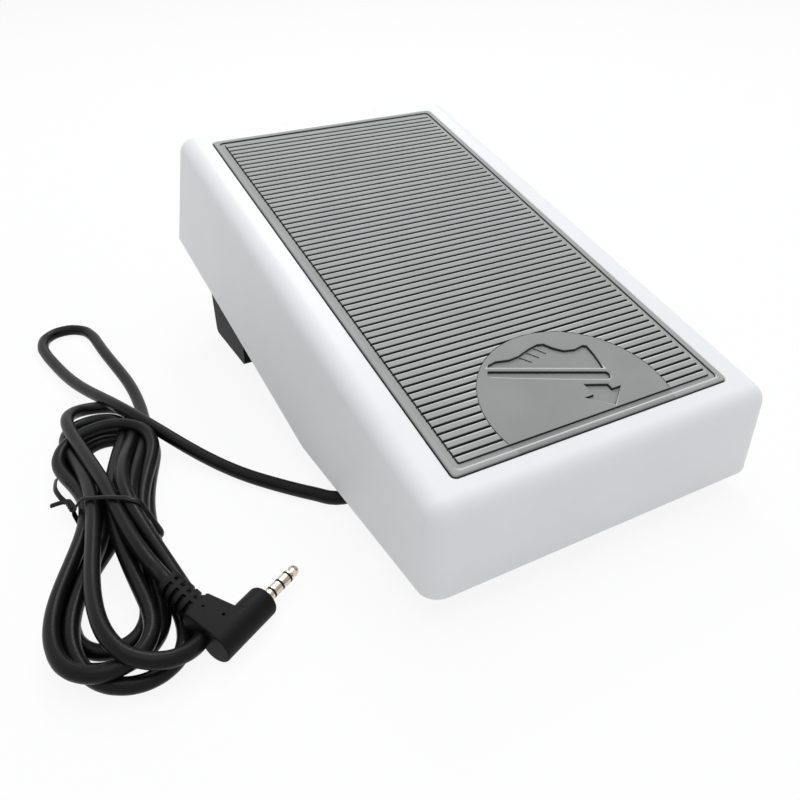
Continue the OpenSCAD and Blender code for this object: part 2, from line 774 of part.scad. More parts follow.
// Moulded body: a barrel, a paddle across it and a slotted bend relief
module plug_body() {
    relief_d = 7.4;
    slot_l = 1.1;
    color("black") in_plug() difference() {
        union() {
            pin_bar(-barrel_l + 1, -1, barrel_d);
            translate([-1, 0, 0]) rotate([0, 90, 0])
                cylinder(d1 = barrel_d, d2 = barrel_d - 1.6, h = 1);
            translate([-barrel_l, 0, 0]) rotate([0, 90, 0])
                cylinder(d1 = barrel_d - 2, d2 = barrel_d, h = 1);
            hull() {
                translate([-barrel_l, 0, -barrel_d / 2 + 0.5])
                    cube([barrel_l * 0.58, 1, barrel_d - 1]);
                translate([relief_x - 4.4, paddle_l - 1, -3.2]) cube([8.6, 1, 6.4]);
            }
            translate([relief_x, paddle_l - 0.5, 0]) rotate([-90, 0, 0])
                cylinder(d1 = relief_d, d2 = cord_d + 1.5, h = relief_l + 0.5);
        }
        for (i = [0 : 3]) translate([relief_x, paddle_l + 1.2 + i * 2.5, 0])
            for (side = [0, 180]) rotate([0, side, 0])
                translate([cord_d / 2, 0, -relief_d]) cube([relief_d, slot_l, 2 * relief_d]);
        pin_bar(-9, 1, core_d);
    }
}

// Start of each contact along the pin
ring_starts = [sleeve_l + gap_l, sleeve_l + 2 * gap_l + ring_l];
tip_start = sleeve_l + 3 * gap_l + 2 * ring_l;

module plug_contacts() {
    color("gainsboro") in_plug() {
        difference() {
            union() {
                pin_bar(0, sleeve_l, jack_d);
                for (start = ring_starts) pin_bar(start, start + ring_l, jack_d);
            }
            pin_bar(-1, tip_start, core_d);
        }
        translate([tip_start, 0, 0]) rotate([0, 90, 0]) rotate_extrude()
            polygon([[0, 0], [jack_d / 2, 0], [jack_d / 2, 0.5], [1.15, 1.2], [1.62, 2.2],
                     [1.35, 3.3], [0.55, tip_l], [0, tip_l]]);
    }
}

// Insulating core and the three rings between the contacts
module plug_insulators() {
    color("black") in_plug() {
        pin_bar(-9, tip_start, core_d);
        for (i = [0 : 2])
            pin_bar(sleeve_l + i * (gap_l + ring_l), sleeve_l + i * (gap_l + ring_l) + gap_l, jack_d);
    }
}

pedal_cover();
tread_pad();
sensor_striker();
base_tray();
pivot_axle();
toe_springs();
heel_springs();
stop_bumpers();
heel_feet();
toe_feet();
circuit_board();
board_screws();
sensor_housing();
sensor_plunger();
sensor_spring();
lead_connector();
lead_wires();
cord_clamp();
clamp_screws();
cord_gland();
cord_tail();
cord();
cord_hank();
twist_tie();
plug_body();
plug_contacts();
plug_insulators();
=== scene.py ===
"""Sewing machine foot pedal: the dressed model, its cord and a plain studio."""
import json
import math

import bmesh
import bpy
import numpy as np
from mathutils import Matrix, Quaternion, Vector


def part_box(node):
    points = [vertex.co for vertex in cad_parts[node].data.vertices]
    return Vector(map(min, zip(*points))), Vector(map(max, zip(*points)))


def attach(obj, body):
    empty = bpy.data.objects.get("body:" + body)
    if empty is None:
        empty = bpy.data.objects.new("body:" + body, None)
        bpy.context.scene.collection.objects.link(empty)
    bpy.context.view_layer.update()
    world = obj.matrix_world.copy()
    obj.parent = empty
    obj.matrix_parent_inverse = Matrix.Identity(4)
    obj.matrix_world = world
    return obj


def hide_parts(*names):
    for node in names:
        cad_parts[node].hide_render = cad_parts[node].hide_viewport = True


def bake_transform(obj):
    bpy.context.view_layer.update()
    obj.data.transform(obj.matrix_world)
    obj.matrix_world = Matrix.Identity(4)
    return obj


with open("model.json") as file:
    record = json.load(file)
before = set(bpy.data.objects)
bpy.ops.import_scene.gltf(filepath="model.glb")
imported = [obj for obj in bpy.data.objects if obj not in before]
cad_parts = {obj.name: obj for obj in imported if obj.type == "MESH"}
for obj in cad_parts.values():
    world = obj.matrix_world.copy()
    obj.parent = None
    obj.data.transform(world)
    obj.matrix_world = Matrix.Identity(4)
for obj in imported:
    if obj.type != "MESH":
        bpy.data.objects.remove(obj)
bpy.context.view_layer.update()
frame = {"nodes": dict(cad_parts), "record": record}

MM = 0.001

# Tread and cover, in millimetres, in the tread's own frame
TILT = math.radians(14.5)
PAD_W, PAD_L, PAD_T, PAD_PROUD = 95.0, 179.0, 3.0, 0.5
PAD_BORDER, CHANNEL_W, CHANNEL_D = 2.0, 1.7, 0.65
RIB_PITCH, GROOVE_W, GROOVE_D = 2.73, 0.75, 1.1
DISC_R, DISC_Y = 29.0, -79.1
COVER_W, COVER_L, WALL, ROOF_DEPTH, RECESS_D = 117.0, 197.0, 2.5, 5.0, 2.5
EDGE_R = 6.0
SIDE_LEAN, HEEL_LEAN, TOE_LEAN = (math.radians(a) for a in (1.0, 12.0, 14.4))
EDGE_GAP, EDGE_RISE = 8.5, math.radians(13.8)

# The tread's frame and the pivot come from the solids
pad_low, pad_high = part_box("tread_pad")
axle_low, axle_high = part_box("pivot_axle")
PAD_MID = (pad_low + pad_high) / 2 / MM
AXLE = (axle_low + axle_high) / 2 / MM
IN_COVER = (Matrix.Translation(PAD_MID) @ Matrix.Rotation(TILT, 4, "X")
            @ Matrix.Translation((0, 0, PAD_T / 2 - PAD_PROUD)))

# Springs: their places, lower and upper ends, diameter and wire
TOE_SPRINGS, TOE_SPRING_Z = [(-40, 69.79), (40, 69.79)], (3.5, 40)
HEEL_SPRINGS, HEEL_SPRING_Z = [(-38, -78.91), (38, -78.91)], (7, 29)
SPRING_D, SPRING_WIRE = 13, 1.3
SENSOR_SPRING, SENSOR_SPRING_Z = [(0, -57.91)], (12.8, 16.9)
SENSOR_SPRING_D, SENSOR_WIRE = 8.8, 0.4

# Cord and plug
CORD_D = 4.5
PLUG_AT, PLUG_Z = (-93.8, -79.5), 4.6
PLUG_TURN, PLUG_LIFT = math.radians(30), math.radians(16)
BARREL_D, BARREL_L, PADDLE_L, RELIEF_L = 9.0, 19.5, 11.5, 11.5
RELIEF_X = -BARREL_L * 0.73
IN_PLUG = (Matrix.Translation((*PLUG_AT, PLUG_Z)) @ Matrix.Rotation(PLUG_TURN, 4, "Z")
           @ Matrix.Rotation(PLUG_LIFT, 4, "X"))


# Camera, in metres and radians

CAMERA_AT, CAMERA_AIM = Vector((-0.13518, -0.23629, 0.16513)), Vector((-0.03313, -0.04546, 0.030))
CAMERA_ROLL = math.radians(-1.305)
SENSOR_W, LENS, CLIP_START = 36, 36.746, 0.01


def add_camera():
    data = bpy.data.cameras.new("camera")
    data.sensor_width = SENSOR_W
    data.lens = LENS
    data.clip_start = CLIP_START
    camera = bpy.data.objects.new("camera", data)
    bpy.context.collection.objects.link(camera)
    turn = (CAMERA_AIM - CAMERA_AT).to_track_quat("-Z", "Y")
    camera.location = CAMERA_AT
    camera.rotation_euler = (turn @ Quaternion((0, 0, 1), CAMERA_ROLL)).to_euler()
    bpy.context.scene.camera = camera


# Materials

NOISE_LOW, NOISE_HIGH = 0.3, 0.7
DRIFT_SCALE, GLOSS_CHANGE, GRAIN_BUMP = 60, 0.06, 0.5
LINE_SCALE, LINE_DARK, LINE_DEPTH, LINE_BUMP = 900, 0.9, 0.00001, 0.3
LINE_GLOSS = (-0.05, 0.07)


def new_material(name):
    material = bpy.data.materials.new(name)
    material.use_nodes = True
    tree = material.node_tree
    return material, tree, tree.nodes["Principled BSDF"]


def noise(tree, scale, detail=3.0, stretch=(1, 1, 1)):
    coords = tree.nodes.new("ShaderNodeTexCoord")
    mapping = tree.nodes.new("ShaderNodeMapping")
    mapping.inputs["Scale"].default_value = stretch
    texture = tree.nodes.new("ShaderNodeTexNoise")
    texture.inputs["Scale"].default_value = scale
    texture.inputs["Detail"].default_value = detail
    tree.links.new(coords.outputs["Object"], mapping.inputs["Vector"])
    tree.links.new(mapping.outputs["Vector"], texture.inputs["Vector"])
    return texture.outputs["Fac"]


def ramp(tree, fac, low, high):
    """Colour between two by a noise."""
    node = tree.nodes.new("ShaderNodeValToRGB")
    node.color_ramp.elements[0].position = NOISE_LOW
    node.color_ramp.elements[0].color = (*low, 1)
    node.color_ramp.elements[1].position = NOISE_HIGH
    node.color_ramp.elements[1].color = (*high, 1)
    tree.links.new(fac, node.inputs["Fac"])
    return node.outputs["Color"]


def spread(tree, fac, low, high):
    """Value between two by a noise."""
    node = tree.nodes.new("ShaderNodeMapRange")
    node.inputs["From Min"].default_value = NOISE_LOW
    node.inputs["From Max"].default_value = NOISE_HIGH
    node.inputs["To Min"].default_value = low
    node.inputs["To Max"].default_value = high
    tree.links.new(fac, node.inputs["Value"])
    return node.outputs["Result"]


def bump(tree, bsdf, fac, distance, strength):
    node = tree.nodes.new("ShaderNodeBump")
    node.inputs["Strength"].default_value = strength
    node.inputs["Distance"].default_value = distance
    tree.links.new(fac, node.inputs["Height"])
    tree.links.new(node.outputs["Normal"], bsdf.inputs["Normal"])


def moulded(name, colour, change, rough, grain, depth, specular):
    """Moulded plastic or rubber: slow colour drift, fine grain in gloss and surface."""
    material, tree, bsdf = new_material(name)
    low = tuple(c * (1 - change) for c in colour)
    high = tuple(c * (1 + change) for c in colour)
    tree.links.new(ramp(tree, noise(tree, DRIFT_SCALE), low, high), bsdf.inputs["Base Color"])
    fine = noise(tree, grain, 2.0)
    gloss = spread(tree, fine, rough - GLOSS_CHANGE, rough + GLOSS_CHANGE)
    tree.links.new(gloss, bsdf.inputs["Roughness"])
    bump(tree, bsdf, fine, depth, GRAIN_BUMP)
    bsdf.inputs["Specular IOR Level"].default_value = specular
    return material


def metal(name, colour, rough, stretch):
    """Drawn or turned metal with fine lines along the stretch."""
    material, tree, bsdf = new_material(name)
    lines = noise(tree, LINE_SCALE, 3.0, stretch)
    low = tuple(c * LINE_DARK for c in colour)
    tree.links.new(ramp(tree, lines, low, colour), bsdf.inputs["Base Color"])
    gloss = spread(tree, lines, *(rough + change for change in LINE_GLOSS))
    tree.links.new(gloss, bsdf.inputs["Roughness"])
    bump(tree, bsdf, lines, LINE_DEPTH, LINE_BUMP)
    bsdf.inputs["Metallic"].default_value = 1.0
    return material


# Colour, its drift, roughness, scale of the grain, depth of the grain in metres, specular level
MOULDED = {
    "cover_white": ((0.86, 0.865, 0.875), 0.012, 0.42, 5200, 0.00001, 0.28),
    "tread_grey": ((0.366, 0.38, 0.366), 0.05, 0.72, 3600, 0.00005, 0.3),
    "inner_ivory": ((0.78, 0.75, 0.66), 0.03, 0.5, 3000, 0.00001, 0.5),
    "base_black": ((0.007, 0.007, 0.0075), 0.15, 0.5, 2600, 0.00004, 0.06),
    "rubber_black": ((0.016, 0.016, 0.016), 0.2, 0.75, 2200, 0.00006, 0.3),
    "cord_black": ((0.005, 0.005, 0.0054), 0.2, 0.34, 1800, 0.00002, 0.13),
    "plug_black": ((0.0055, 0.0055, 0.006), 0.15, 0.5, 2600, 0.00004, 0.11),
    "tie_black": ((0.005, 0.005, 0.0054), 0.2, 0.3, 2500, 0.00002, 0.15),
    "board_green": ((0.02, 0.17, 0.07), 0.25, 0.35, 900, 0.00002, 0.5),
    "lead_red": ((0.5, 0.03, 0.025), 0.1, 0.4, 2000, 0.00001, 0.5),
}
# Colour, roughness, stretch of the lines
METALS = {
    "steel": ((0.62, 0.62, 0.63), 0.3, (1, 1, 8)),
    "contact_nickel": ((0.69, 0.62, 0.51), 0.2, (3, 1, 3)),
}
MATERIALS = {name: moulded(name, *look) for name, look in MOULDED.items()}
MATERIALS.update({name: metal(name, *look) for name, look in METALS.items()})


def tint_by_lean(material, way, start, end, from_colour=None, to_colour=None):
    """Mixes a colour in by how far a face leans towards a direction of the object."""
    tree = material.node_tree
    base = tree.nodes["Principled BSDF"].inputs["Base Color"]
    own = base.links[0].from_socket
    coords = tree.nodes.new("ShaderNodeTexCoord")
    lean = tree.nodes.new("ShaderNodeVectorMath")
    lean.operation = "DOT_PRODUCT"
    lean.inputs[1].default_value = way
    share = tree.nodes.new("ShaderNodeMapRange")
    share.inputs["From Min"].default_value = start
    share.inputs["From Max"].default_value = end
    mix = tree.nodes.new("ShaderNodeMixRGB")
    tree.links.new(coords.outputs["Normal"], lean.inputs[0])
    tree.links.new(lean.outputs["Value"], share.inputs["Value"])
    tree.links.new(share.outputs["Result"], mix.inputs["Fac"])
    for socket, colour in (("Color1", from_colour), ("Color2", to_colour)):
        if colour:
            mix.inputs[socket].default_value = (*colour, 1)
        else:
            tree.links.new(own, mix.inputs[socket])
    tree.links.new(mix.outputs["Color"], base)


def shade_within(material, centre, radius, shade, edge):
    """Moulds the area around a point of the object in a darker tone, with a soft edge."""
    tree = material.node_tree
    base = tree.nodes["Principled BSDF"].inputs["Base Color"]
    coords = tree.nodes.new("ShaderNodeTexCoord")
    away = tree.nodes.new("ShaderNodeVectorMath")
    away.operation = "DISTANCE"
    away.inputs[1].default_value = centre
    share = tree.nodes.new("ShaderNodeMapRange")
    share.inputs["From Min"].default_value = radius + edge
    share.inputs["From Max"].default_value = radius
    mix = tree.nodes.new("ShaderNodeMixRGB")
    mix.blend_type = "MULTIPLY"
    mix.inputs["Color2"].default_value = (shade, shade, shade, 1)
    tree.links.new(coords.outputs["Object"], away.inputs[0])
    tree.links.new(away.outputs["Value"], share.inputs["Value"])
    tree.links.new(share.outputs["Result"], mix.inputs["Fac"])
    tree.links.new(base.links[0].from_socket, mix.inputs["Color1"])
    tree.links.new(mix.outputs["Color"], base)


DISC_SHADE, DISC_SHADE_EDGE = 0.79, 0.2
# Colours of the painted highlight on rims that face the toe and of the painted shade on steep walls
RIM_PAINTED_HIGHLIGHT, WALL_PAINTED_SHADE = (0.66, 0.675, 0.67), (0.02, 0.02, 0.021)
RIM_HIGHLIGHT_LEAN, WALL_SHADE_LEAN = (0.06, 0.17), (0.35, 0.8)
TO_TOE = (0, math.cos(TILT), math.sin(TILT))
TREAD_UP = (0, -math.sin(TILT), math.cos(TILT))

# The smooth disc is a little darker than the bars
shade_within(MATERIALS["tread_grey"], IN_COVER @ Vector((0, DISC_Y, PAD_PROUD)) * MM,
             DISC_R * MM, DISC_SHADE, DISC_SHADE_EDGE * MM)
# Painted highlight: rims that face the toe are painted pale, as if light from the toe side caught
# them
tint_by_lean(MATERIALS["tread_grey"], TO_TOE, *RIM_HIGHLIGHT_LEAN, to_colour=RIM_PAINTED_HIGHLIGHT)
# Painted shade: steep walls of grooves and sunk areas are painted dark, where shade falls in them
tint_by_lean(MATERIALS["tread_grey"], TREAD_UP, *WALL_SHADE_LEAN, from_colour=WALL_PAINTED_SHADE)


def dress(obj, slot, material=None):
    obj.data.materials.clear()
    obj.data.materials.append(MATERIALS[material or slot])


# Mesh helpers, in millimetres until a mesh becomes an object

WELD, CUT_WELD = 0.0005, 0.003
UP = Vector((0, 0, 1))


def angles(count):
    return [2 * math.pi * i / count for i in range(count)]


def mark_edges(bm, sharp):
    """Smooth faces with hard edges where they meet at more than an angle in degrees."""
    limit = math.radians(sharp)
    for face in bm.faces:
        face.smooth = True
    for edge in bm.edges:
        edge.smooth = edge.is_manifold and edge.calc_face_angle() < limit


def to_object(name, bm, place=None, sharp=32.0):
    """Welds, turns faces outward, marks sharp edges and makes the object in metres."""
    bmesh.ops.remove_doubles(bm, verts=bm.verts, dist=WELD)
    bmesh.ops.recalc_face_normals(bm, faces=bm.faces)
    mark_edges(bm, sharp)
    bm.transform(Matrix.Scale(MM, 4) @ (place or Matrix.Identity(4)))
    mesh = bpy.data.meshes.new(name)
    bm.to_mesh(mesh)
    bm.free()
    obj = bpy.data.objects.new(name, mesh)
    bpy.context.collection.objects.link(obj)
    return obj


def loft(bm, rows, caps=True):
    """Quads between rows of points; each row is a ring."""
    rings = [[bm.verts.new(p) for p in row] for row in rows]
    count = len(rings[0])
    for a, b in zip(rings, rings[1:]):
        for i in range(count):
            j = (i + 1) % count
            bm.faces.new((a[i], a[j], b[j], b[i]))
    if caps:
        bm.faces.new(rings[0])
        bm.faces.new(rings[-1])
    return rings


def round_rect(width, length, r, z, steps=6):
    """Ring of a rectangle with rounded corners."""
    ring = []
    for sx, sy, start in ((1, 1, 0), (-1, 1, 90), (-1, -1, 180), (1, -1, 270)):
        for i in range(steps + 1):
            a = math.radians(start + 90 * i / steps)
            ring.append((sx * (width / 2 - r) + r * math.cos(a),
                         sy * (length / 2 - r) + r * math.sin(a), z))
    return ring


def prism(bm, outline, low, high):
    """Closed prism over a plane outline."""
    loft(bm, [[(x, y, low) for x, y in outline], [(x, y, high) for x, y in outline]])


def tube(bm, path, r, sides=12, flat=1.0):
    """Round or flat tube along a path, with a frame carried from point to point."""
    path = [Vector(p) for p in path]
    ahead = [(b - a).normalized() for a, b in zip(path, path[1:])]
    tangents = [ahead[0]] + [(a + b).normalized() for a, b in zip(ahead, ahead[1:])] + [ahead[-1]]
    normal = tangents[0].orthogonal().normalized()
    rows = []
    for point, tangent in zip(path, tangents):
        normal = (normal - tangent * normal.dot(tangent)).normalized()
        side = tangent.cross(normal) * flat
        rows.append([point + r * (math.cos(a) * normal + math.sin(a) * side)
                     for a in angles(sides)])
    loft(bm, rows)


def revolve(bm, profile, sides=48):
    """Solid of revolution around X from (along, radius) pairs."""
    loft(bm, [[(along, r * math.cos(a), r * math.sin(a)) for a in angles(sides)]
              for along, r in profile])


def combine(obj, cutter, operation):
    """Boolean of two objects, applied to the first."""
    modifier = obj.modifiers.new("cut", "BOOLEAN")
    modifier.operation = operation
    modifier.solver = "EXACT"
    modifier.object = cutter
    apply_modifiers(obj)
    bpy.data.objects.remove(cutter)


def apply_modifiers(obj):
    graph = bpy.context.evaluated_depsgraph_get()
    mesh = bpy.data.meshes.new_from_object(obj.evaluated_get(graph))
    obj.modifiers.clear()
    obj.data = mesh


def clean(obj):
    """Closes the slivers that cuts leave and drops faces of no area or with a twin."""
    bm = bmesh.new()
    bm.from_mesh(obj.data)
    bmesh.ops.remove_doubles(bm, verts=bm.verts, dist=CUT_WELD * MM)
    bmesh.ops.dissolve_degenerate(bm, edges=bm.edges, dist=CUT_WELD * MM)
    bmesh.ops.triangulate(bm, faces=bm.faces)
    seen = {}
    for face in bm.faces:
        seen.setdefault(frozenset(v.index for v in face.verts), []).append(face)
    twins = [face for faces in seen.values() if len(faces) > 1 for face in faces]
    bmesh.ops.delete(bm, geom=twins, context="FACES")
    bm.to_mesh(obj.data)
    bm.free()


def even_normals(obj):
    modifier = obj.modifiers.new("normals", "WEIGHTED_NORMAL")
    modifier.keep_sharp = True


def finish_cut(obj, place, sharp):
    """Moves a cut mesh into its frame, cleans it and marks its sharp edges."""
    obj.data.transform(Matrix.Translation(place.translation * MM) @ place.to_3x3().to_4x4())
    clean(obj)
    bm = bmesh.new()
    bm.from_mesh(obj.data)
    mark_edges(bm, sharp)
    bm.to_mesh(obj.data)
    bm.free()
    even_normals(obj)


# Cord: the free run, the turns of the hank and the end in the plug, in millimetres

FREE_RUN = [(-51.9, -53.41, 5.9), (-55, -52.5, 5.0), (-58.5, -49.5, 4.0), (-62, -44.5, 3.2),
            (-66.5, -38.5, 2.7), (-78, -23.9, 2.4), (-85.5, -12.3, 2.8), (-93, 0.4, 4.2),
            (-99.1, 10.8, 6.2), (-105.2, 23, 7.4), (-109.6, 36.2, 6.4), (-114.9, 54.2, 4.2),
            (-119.4, 73, 2.6), (-122, 88, 2.4), (-123.6, 100, 2.4), (-124, 109.8, 2.4),
            (-122.6, 115, 2.4), (-118.8, 118.8, 2.4), (-113.6, 120.2, 2.4), (-108.4, 118.8, 2.4),
            (-104.8, 115, 2.4), (-103.6, 108, 2.4), (-102.6, 96, 2.4), (-100.8, 78, 2.4),
            (-99, 58, 2.4), (-99.2, 42, 2.4), (-100.8, 27, 3.0), (-104, 11, 5.0)]
# Lobes of the hank, one pair a turn: middle x, y, radius, length of the first and the last limb,
# lean in degrees, heights at the start, the tip and the end
HEEL_LOBES = [(-131.2, -65.5, 10.5, 10, 10, 8, 2.4, 2.4, 2.4),
              (-130.0, -76.4, 12.6, 12, 12, 1, 2.4, 2.4, 2.4),
              (-130.6, -69.4, 12.6, 12, 10, 6, 2.4, 4.6, 5.0),
              (-130.8, -75.4, 11.9, 14, 10, 1, 6.8, 7.6, 7.0),
              (-123.1, -79.8, 11.1, 16, 12, -2, 10.6, 7.0, 2.4)]
TOE_LOBES = [(-115.6, 13.5, 10.2, 0, 0, 8, 2.4, 2.4, 2.4),
             (-115.0, 15.0, 13.9, 3, 3, 8, 2.4, 2.4, 2.4),
             (-116.3, 9.0, 14.5, 0, 0, 8, 6.2, 6.2, 5.0),
             (-114.6, 23.8, 11.0, 3, 3, 8, 4.0, 2.6, 4.6),
             (-115.2, 33.6, 10.0, 14, 12, 2, 5.0, 3.6, 7.6)]
# Places under the tie in the cord's order: across, height
WAIST_SLOTS = [(7.0, 9.8), (2.4, 2.9), (-2.1, 2.9), (6.9, 2.9), (-6.6, 2.9), (6.6, 6.3),
               (-6.2, 6.7), (2.6, 6.8), (-5.4, 10.5), (3.0, 10.8), (-1.4, 11.0)]
TO_PLUG = [(-120.8, -33.8, 11.0), (-119.9, -44.2, 11.2), (-118.6, -53.6, 11.2),
           (-116.9, -60.3, 10.6)]
# Run in the bend relief, from the cord's side: across, along
IN_RELIEF = [(1.7, 11.5), (1.2, 8.5), (0.8, 5.5)]
LIMB_IN = 0.97
ROUTE_STEP, FREE_KNOTS, KNOT_STEP = 3.2, 38, 4.2
# Settling, in steps along the cord and millimetres
NEIGHBOURS, HELD_ENDS, SINK, STAY_OUT = 5, 6, 0.03, 0.997
EVEN_OUT, PUSH_SPREAD, FLOOR_GAP = 2.5, 3.0, 0.05
ROUNDS, QUICK_ROUNDS = 220, 60


def heading(degrees):
    return np.array([math.cos(math.radians(degrees)), math.sin(math.radians(degrees))])


WAIST, ACROSS = np.array([-120.2, -20.5]), heading(-22)


def waist_point(slot):
    x, y = WAIST + ACROSS * slot[0]
    return (x, y, slot[1])


def lobe_points(lobe, end, turn):
    """Half circle around an end of the hank with its limbs; end is 1 at the toe, -1 at the heel."""
    x, y, r, first, last, lean, *heights = lobe
    middle = np.array([x, y])
    along = end * np.array([math.sin(math.radians(lean)), math.cos(math.radians(lean))])
    across = turn * np.array([along[1], -along[0]])
    spots = [(LIMB_IN * r * across - first * along, heights[0])] if first else []
    for a in range(-90, 91, 30):
        t = math.radians(a)
        spots.append((r * (math.cos(t) * along - math.sin(t) * across),
                      np.interp(a, (-90, 0, 90), heights)))
    if last:
        spots.append((-LIMB_IN * r * across - last * along, heights[2]))
    return [(*(middle + spot), z) for spot, z in spots]


def cord_route():
    points = list(FREE_RUN) + [waist_point(WAIST_SLOTS[0])]
    for i, (heel, toe) in enumerate(zip(HEEL_LOBES, TOE_LOBES)):
        points += lobe_points(heel, -1, -1 if i == 0 else 1)
        points.append(waist_point(WAIST_SLOTS[2 * i + 1]))
        points += lobe_points(toe, 1, 1)
        points.append(waist_point(WAIST_SLOTS[2 * i + 2]))
    inside = [tuple(IN_PLUG @ Vector((RELIEF_X + across, PADDLE_L + along, 0)))
              for across, along in IN_RELIEF]
    return np.array(points + TO_PLUG + inside, float)


def smooth_path(p, steps=10):
    """Centripetal Catmull-Rom curve through the points."""
    p = np.vstack([2 * p[0] - p[1], p, 2 * p[-1] - p[-2]])
    out = []
    for i in range(1, len(p) - 2):
        a, b, c, d = p[i - 1:i + 3]
        t1 = np.linalg.norm(b - a) ** 0.5
        t2 = t1 + np.linalg.norm(c - b) ** 0.5
        t3 = t2 + np.linalg.norm(d - c) ** 0.5
        for t in np.linspace(t1, t2, steps, endpoint=False):
            ab = a + (b - a) * t / t1
            bc = b + (c - b) * (t - t1) / (t2 - t1)
            cd = c + (d - c) * (t - t2) / (t3 - t2)
            abc = ab + (bc - ab) * t / t2
            bcd = bc + (cd - bc) * (t - t1) / (t3 - t1)
            out.append(abc + (bcd - abc) * (t - t1) / (t2 - t1))
    return np.array(out + [p[-2]])


def lengths_along(p):
    return np.r_[0, np.cumsum(np.linalg.norm(np.diff(p, axis=0), axis=1))]


def path_length(p):
    return lengths_along(p)[-1]


def points_at(p, at):
    """Points of a path at lengths along it."""
    along = lengths_along(p)
    return np.stack([np.interp(at, along, p[:, k]) for k in range(3)], 1)


def resample(p, step):
    total = path_length(p)
    return points_at(p, np.linspace(0, total, int(round(total / step)) + 1))


def blur(p, wide):
    """Weighted mean along the path; the ends keep their place and direction."""
    reach = int(3 * wide)
    k = np.arange(-reach, reach + 1)
    weight = np.exp(-k ** 2 / (2 * wide ** 2))
    weight /= weight.sum()
    padded = np.vstack([2 * p[0] - p[reach:0:-1], p, 2 * p[-1] - p[-2:-reach - 2:-1]])
    return np.stack([np.convolve(padded[:, c], weight, "valid") for c in range(3)], 1)


def settle(p, rounds):
    """Lets the turns sink and lie on each other; each push is spread along the cord."""
    count = len(p)
    order = np.arange(count)
    apart = np.abs(order[:, None] - order[None]) > NEIGHBOURS
    free = slice(HELD_ENDS, count - HELD_ENDS)
    even = blur(p, EVEN_OUT)
    home = p.copy()
    home[free] = (2 * even - blur(even, EVEN_OUT))[free]
    floor = CORD_D / 2 + FLOOR_GAP - home[:, 2]
    shift = np.zeros_like(p)
    for _ in range(rounds):
        now = home + shift
        gap = now[:, None] - now[None]
        dist = np.sqrt((gap ** 2).sum(2)) + 1e-9
        hit = apart & (dist < CORD_D)
        push = np.where(hit, (CORD_D - dist) / dist * 0.5, 0)
        move = (push[:, :, None] * gap).sum(1) / np.sqrt(np.maximum(hit.sum(1), 1))[:, None]
        move[:, 2] -= SINK
        shift[free] += move[free]
        shift[free] = blur(shift, PUSH_SPREAD)[free]
        shift[:, :2] *= STAY_OUT
        shift[:, 2] = np.maximum(shift[:, 2], floor)
    return home + shift


def cord_points():
    dense = resample(smooth_path(cord_route()), ROUTE_STEP)
    return settle(dense, ROUNDS)


def add_cord(points):
    free_end = path_length(np.array(FREE_RUN, float))
    total = path_length(points)
    at = np.r_[np.linspace(0, free_end, FREE_KNOTS, endpoint=False),
               np.linspace(free_end, total, int((total - free_end) / KNOT_STEP))]
    spots = points_at(points, at)
    data = bpy.data.curves.new("cord", "CURVE")
    data.dimensions = "3D"
    data.bevel_depth = CORD_D / 2 * MM
    data.bevel_resolution = 5
    data.resolution_u = 4
    data.use_fill_caps = True
    spline = data.splines.new("BEZIER")
    spline.bezier_points.add(len(spots) - 1)
    for knot, spot in zip(spline.bezier_points, spots):
        knot.co = Vector(spot) * MM
        knot.handle_left_type = "AUTO"
        knot.handle_right_type = "AUTO"
    cord = bpy.data.objects.new("cord_lead", data)
    bpy.context.collection.objects.link(cord)
    dress(cord, "cord_black")
    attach(cord, "base")
    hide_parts("cord", "cord_hank")
    return cord


# Twist tie around the waist of the hank

def hull_ring(flat):
    """Convex outline of plane points, counter-clockwise."""
    flat = sorted(set(map(tuple, np.round(flat, 3))))
    halves = []
    for seq in (flat, flat[::-1]):
        half = []
        for p in seq:
            while len(half) > 1 and np.cross(np.subtract(half[-1], half[-2]),
                                             np.subtract(p, half[-2])) <= 0:
                half.pop()
            half.append(p)
        halves += half[:-1]
    return halves


TIE_AT, TIE_ACROSS = np.array([-120.2, -28.6]), heading(-37)
TIE_FORWARD = np.array([-TIE_ACROSS[1], TIE_ACROSS[0]])
TIE_REACH, TIE_HALF_W, TIE_GAP, TIE_FLOOR = 16, 3.0, 0.35, 0.5
TIE_SECTION = [(0.95, 0.12), (0.6, 0.35), (0, 0.45), (-0.6, 0.35), (-0.95, 0.12),
               (-0.95, -0.12), (-0.6, -0.25), (0, -0.3), (0.6, -0.25), (0.95, -0.12)]
# Twist: where it may start, its radius and turns, and the wire's radius and flatness
TWIST_ABOVE, TWIST_R, TWIST_TURNS, WIRE_R, WIRE_FLAT = 8.0, 0.55, 2, 0.4, 2.1
TIE_TWIST_END = (-132.8, -14.8, 8.6)
TIE_TIPS = [[(-135.2, -13.8, 8.2), (-137.6, -12.8, 7.4)],
            [(-134.4, -12.0, 9.2), (-135.0, -8.0, 9.4), (-134.6, -4.4, 9.0), (-134.0, -1.4, 8.4)]]


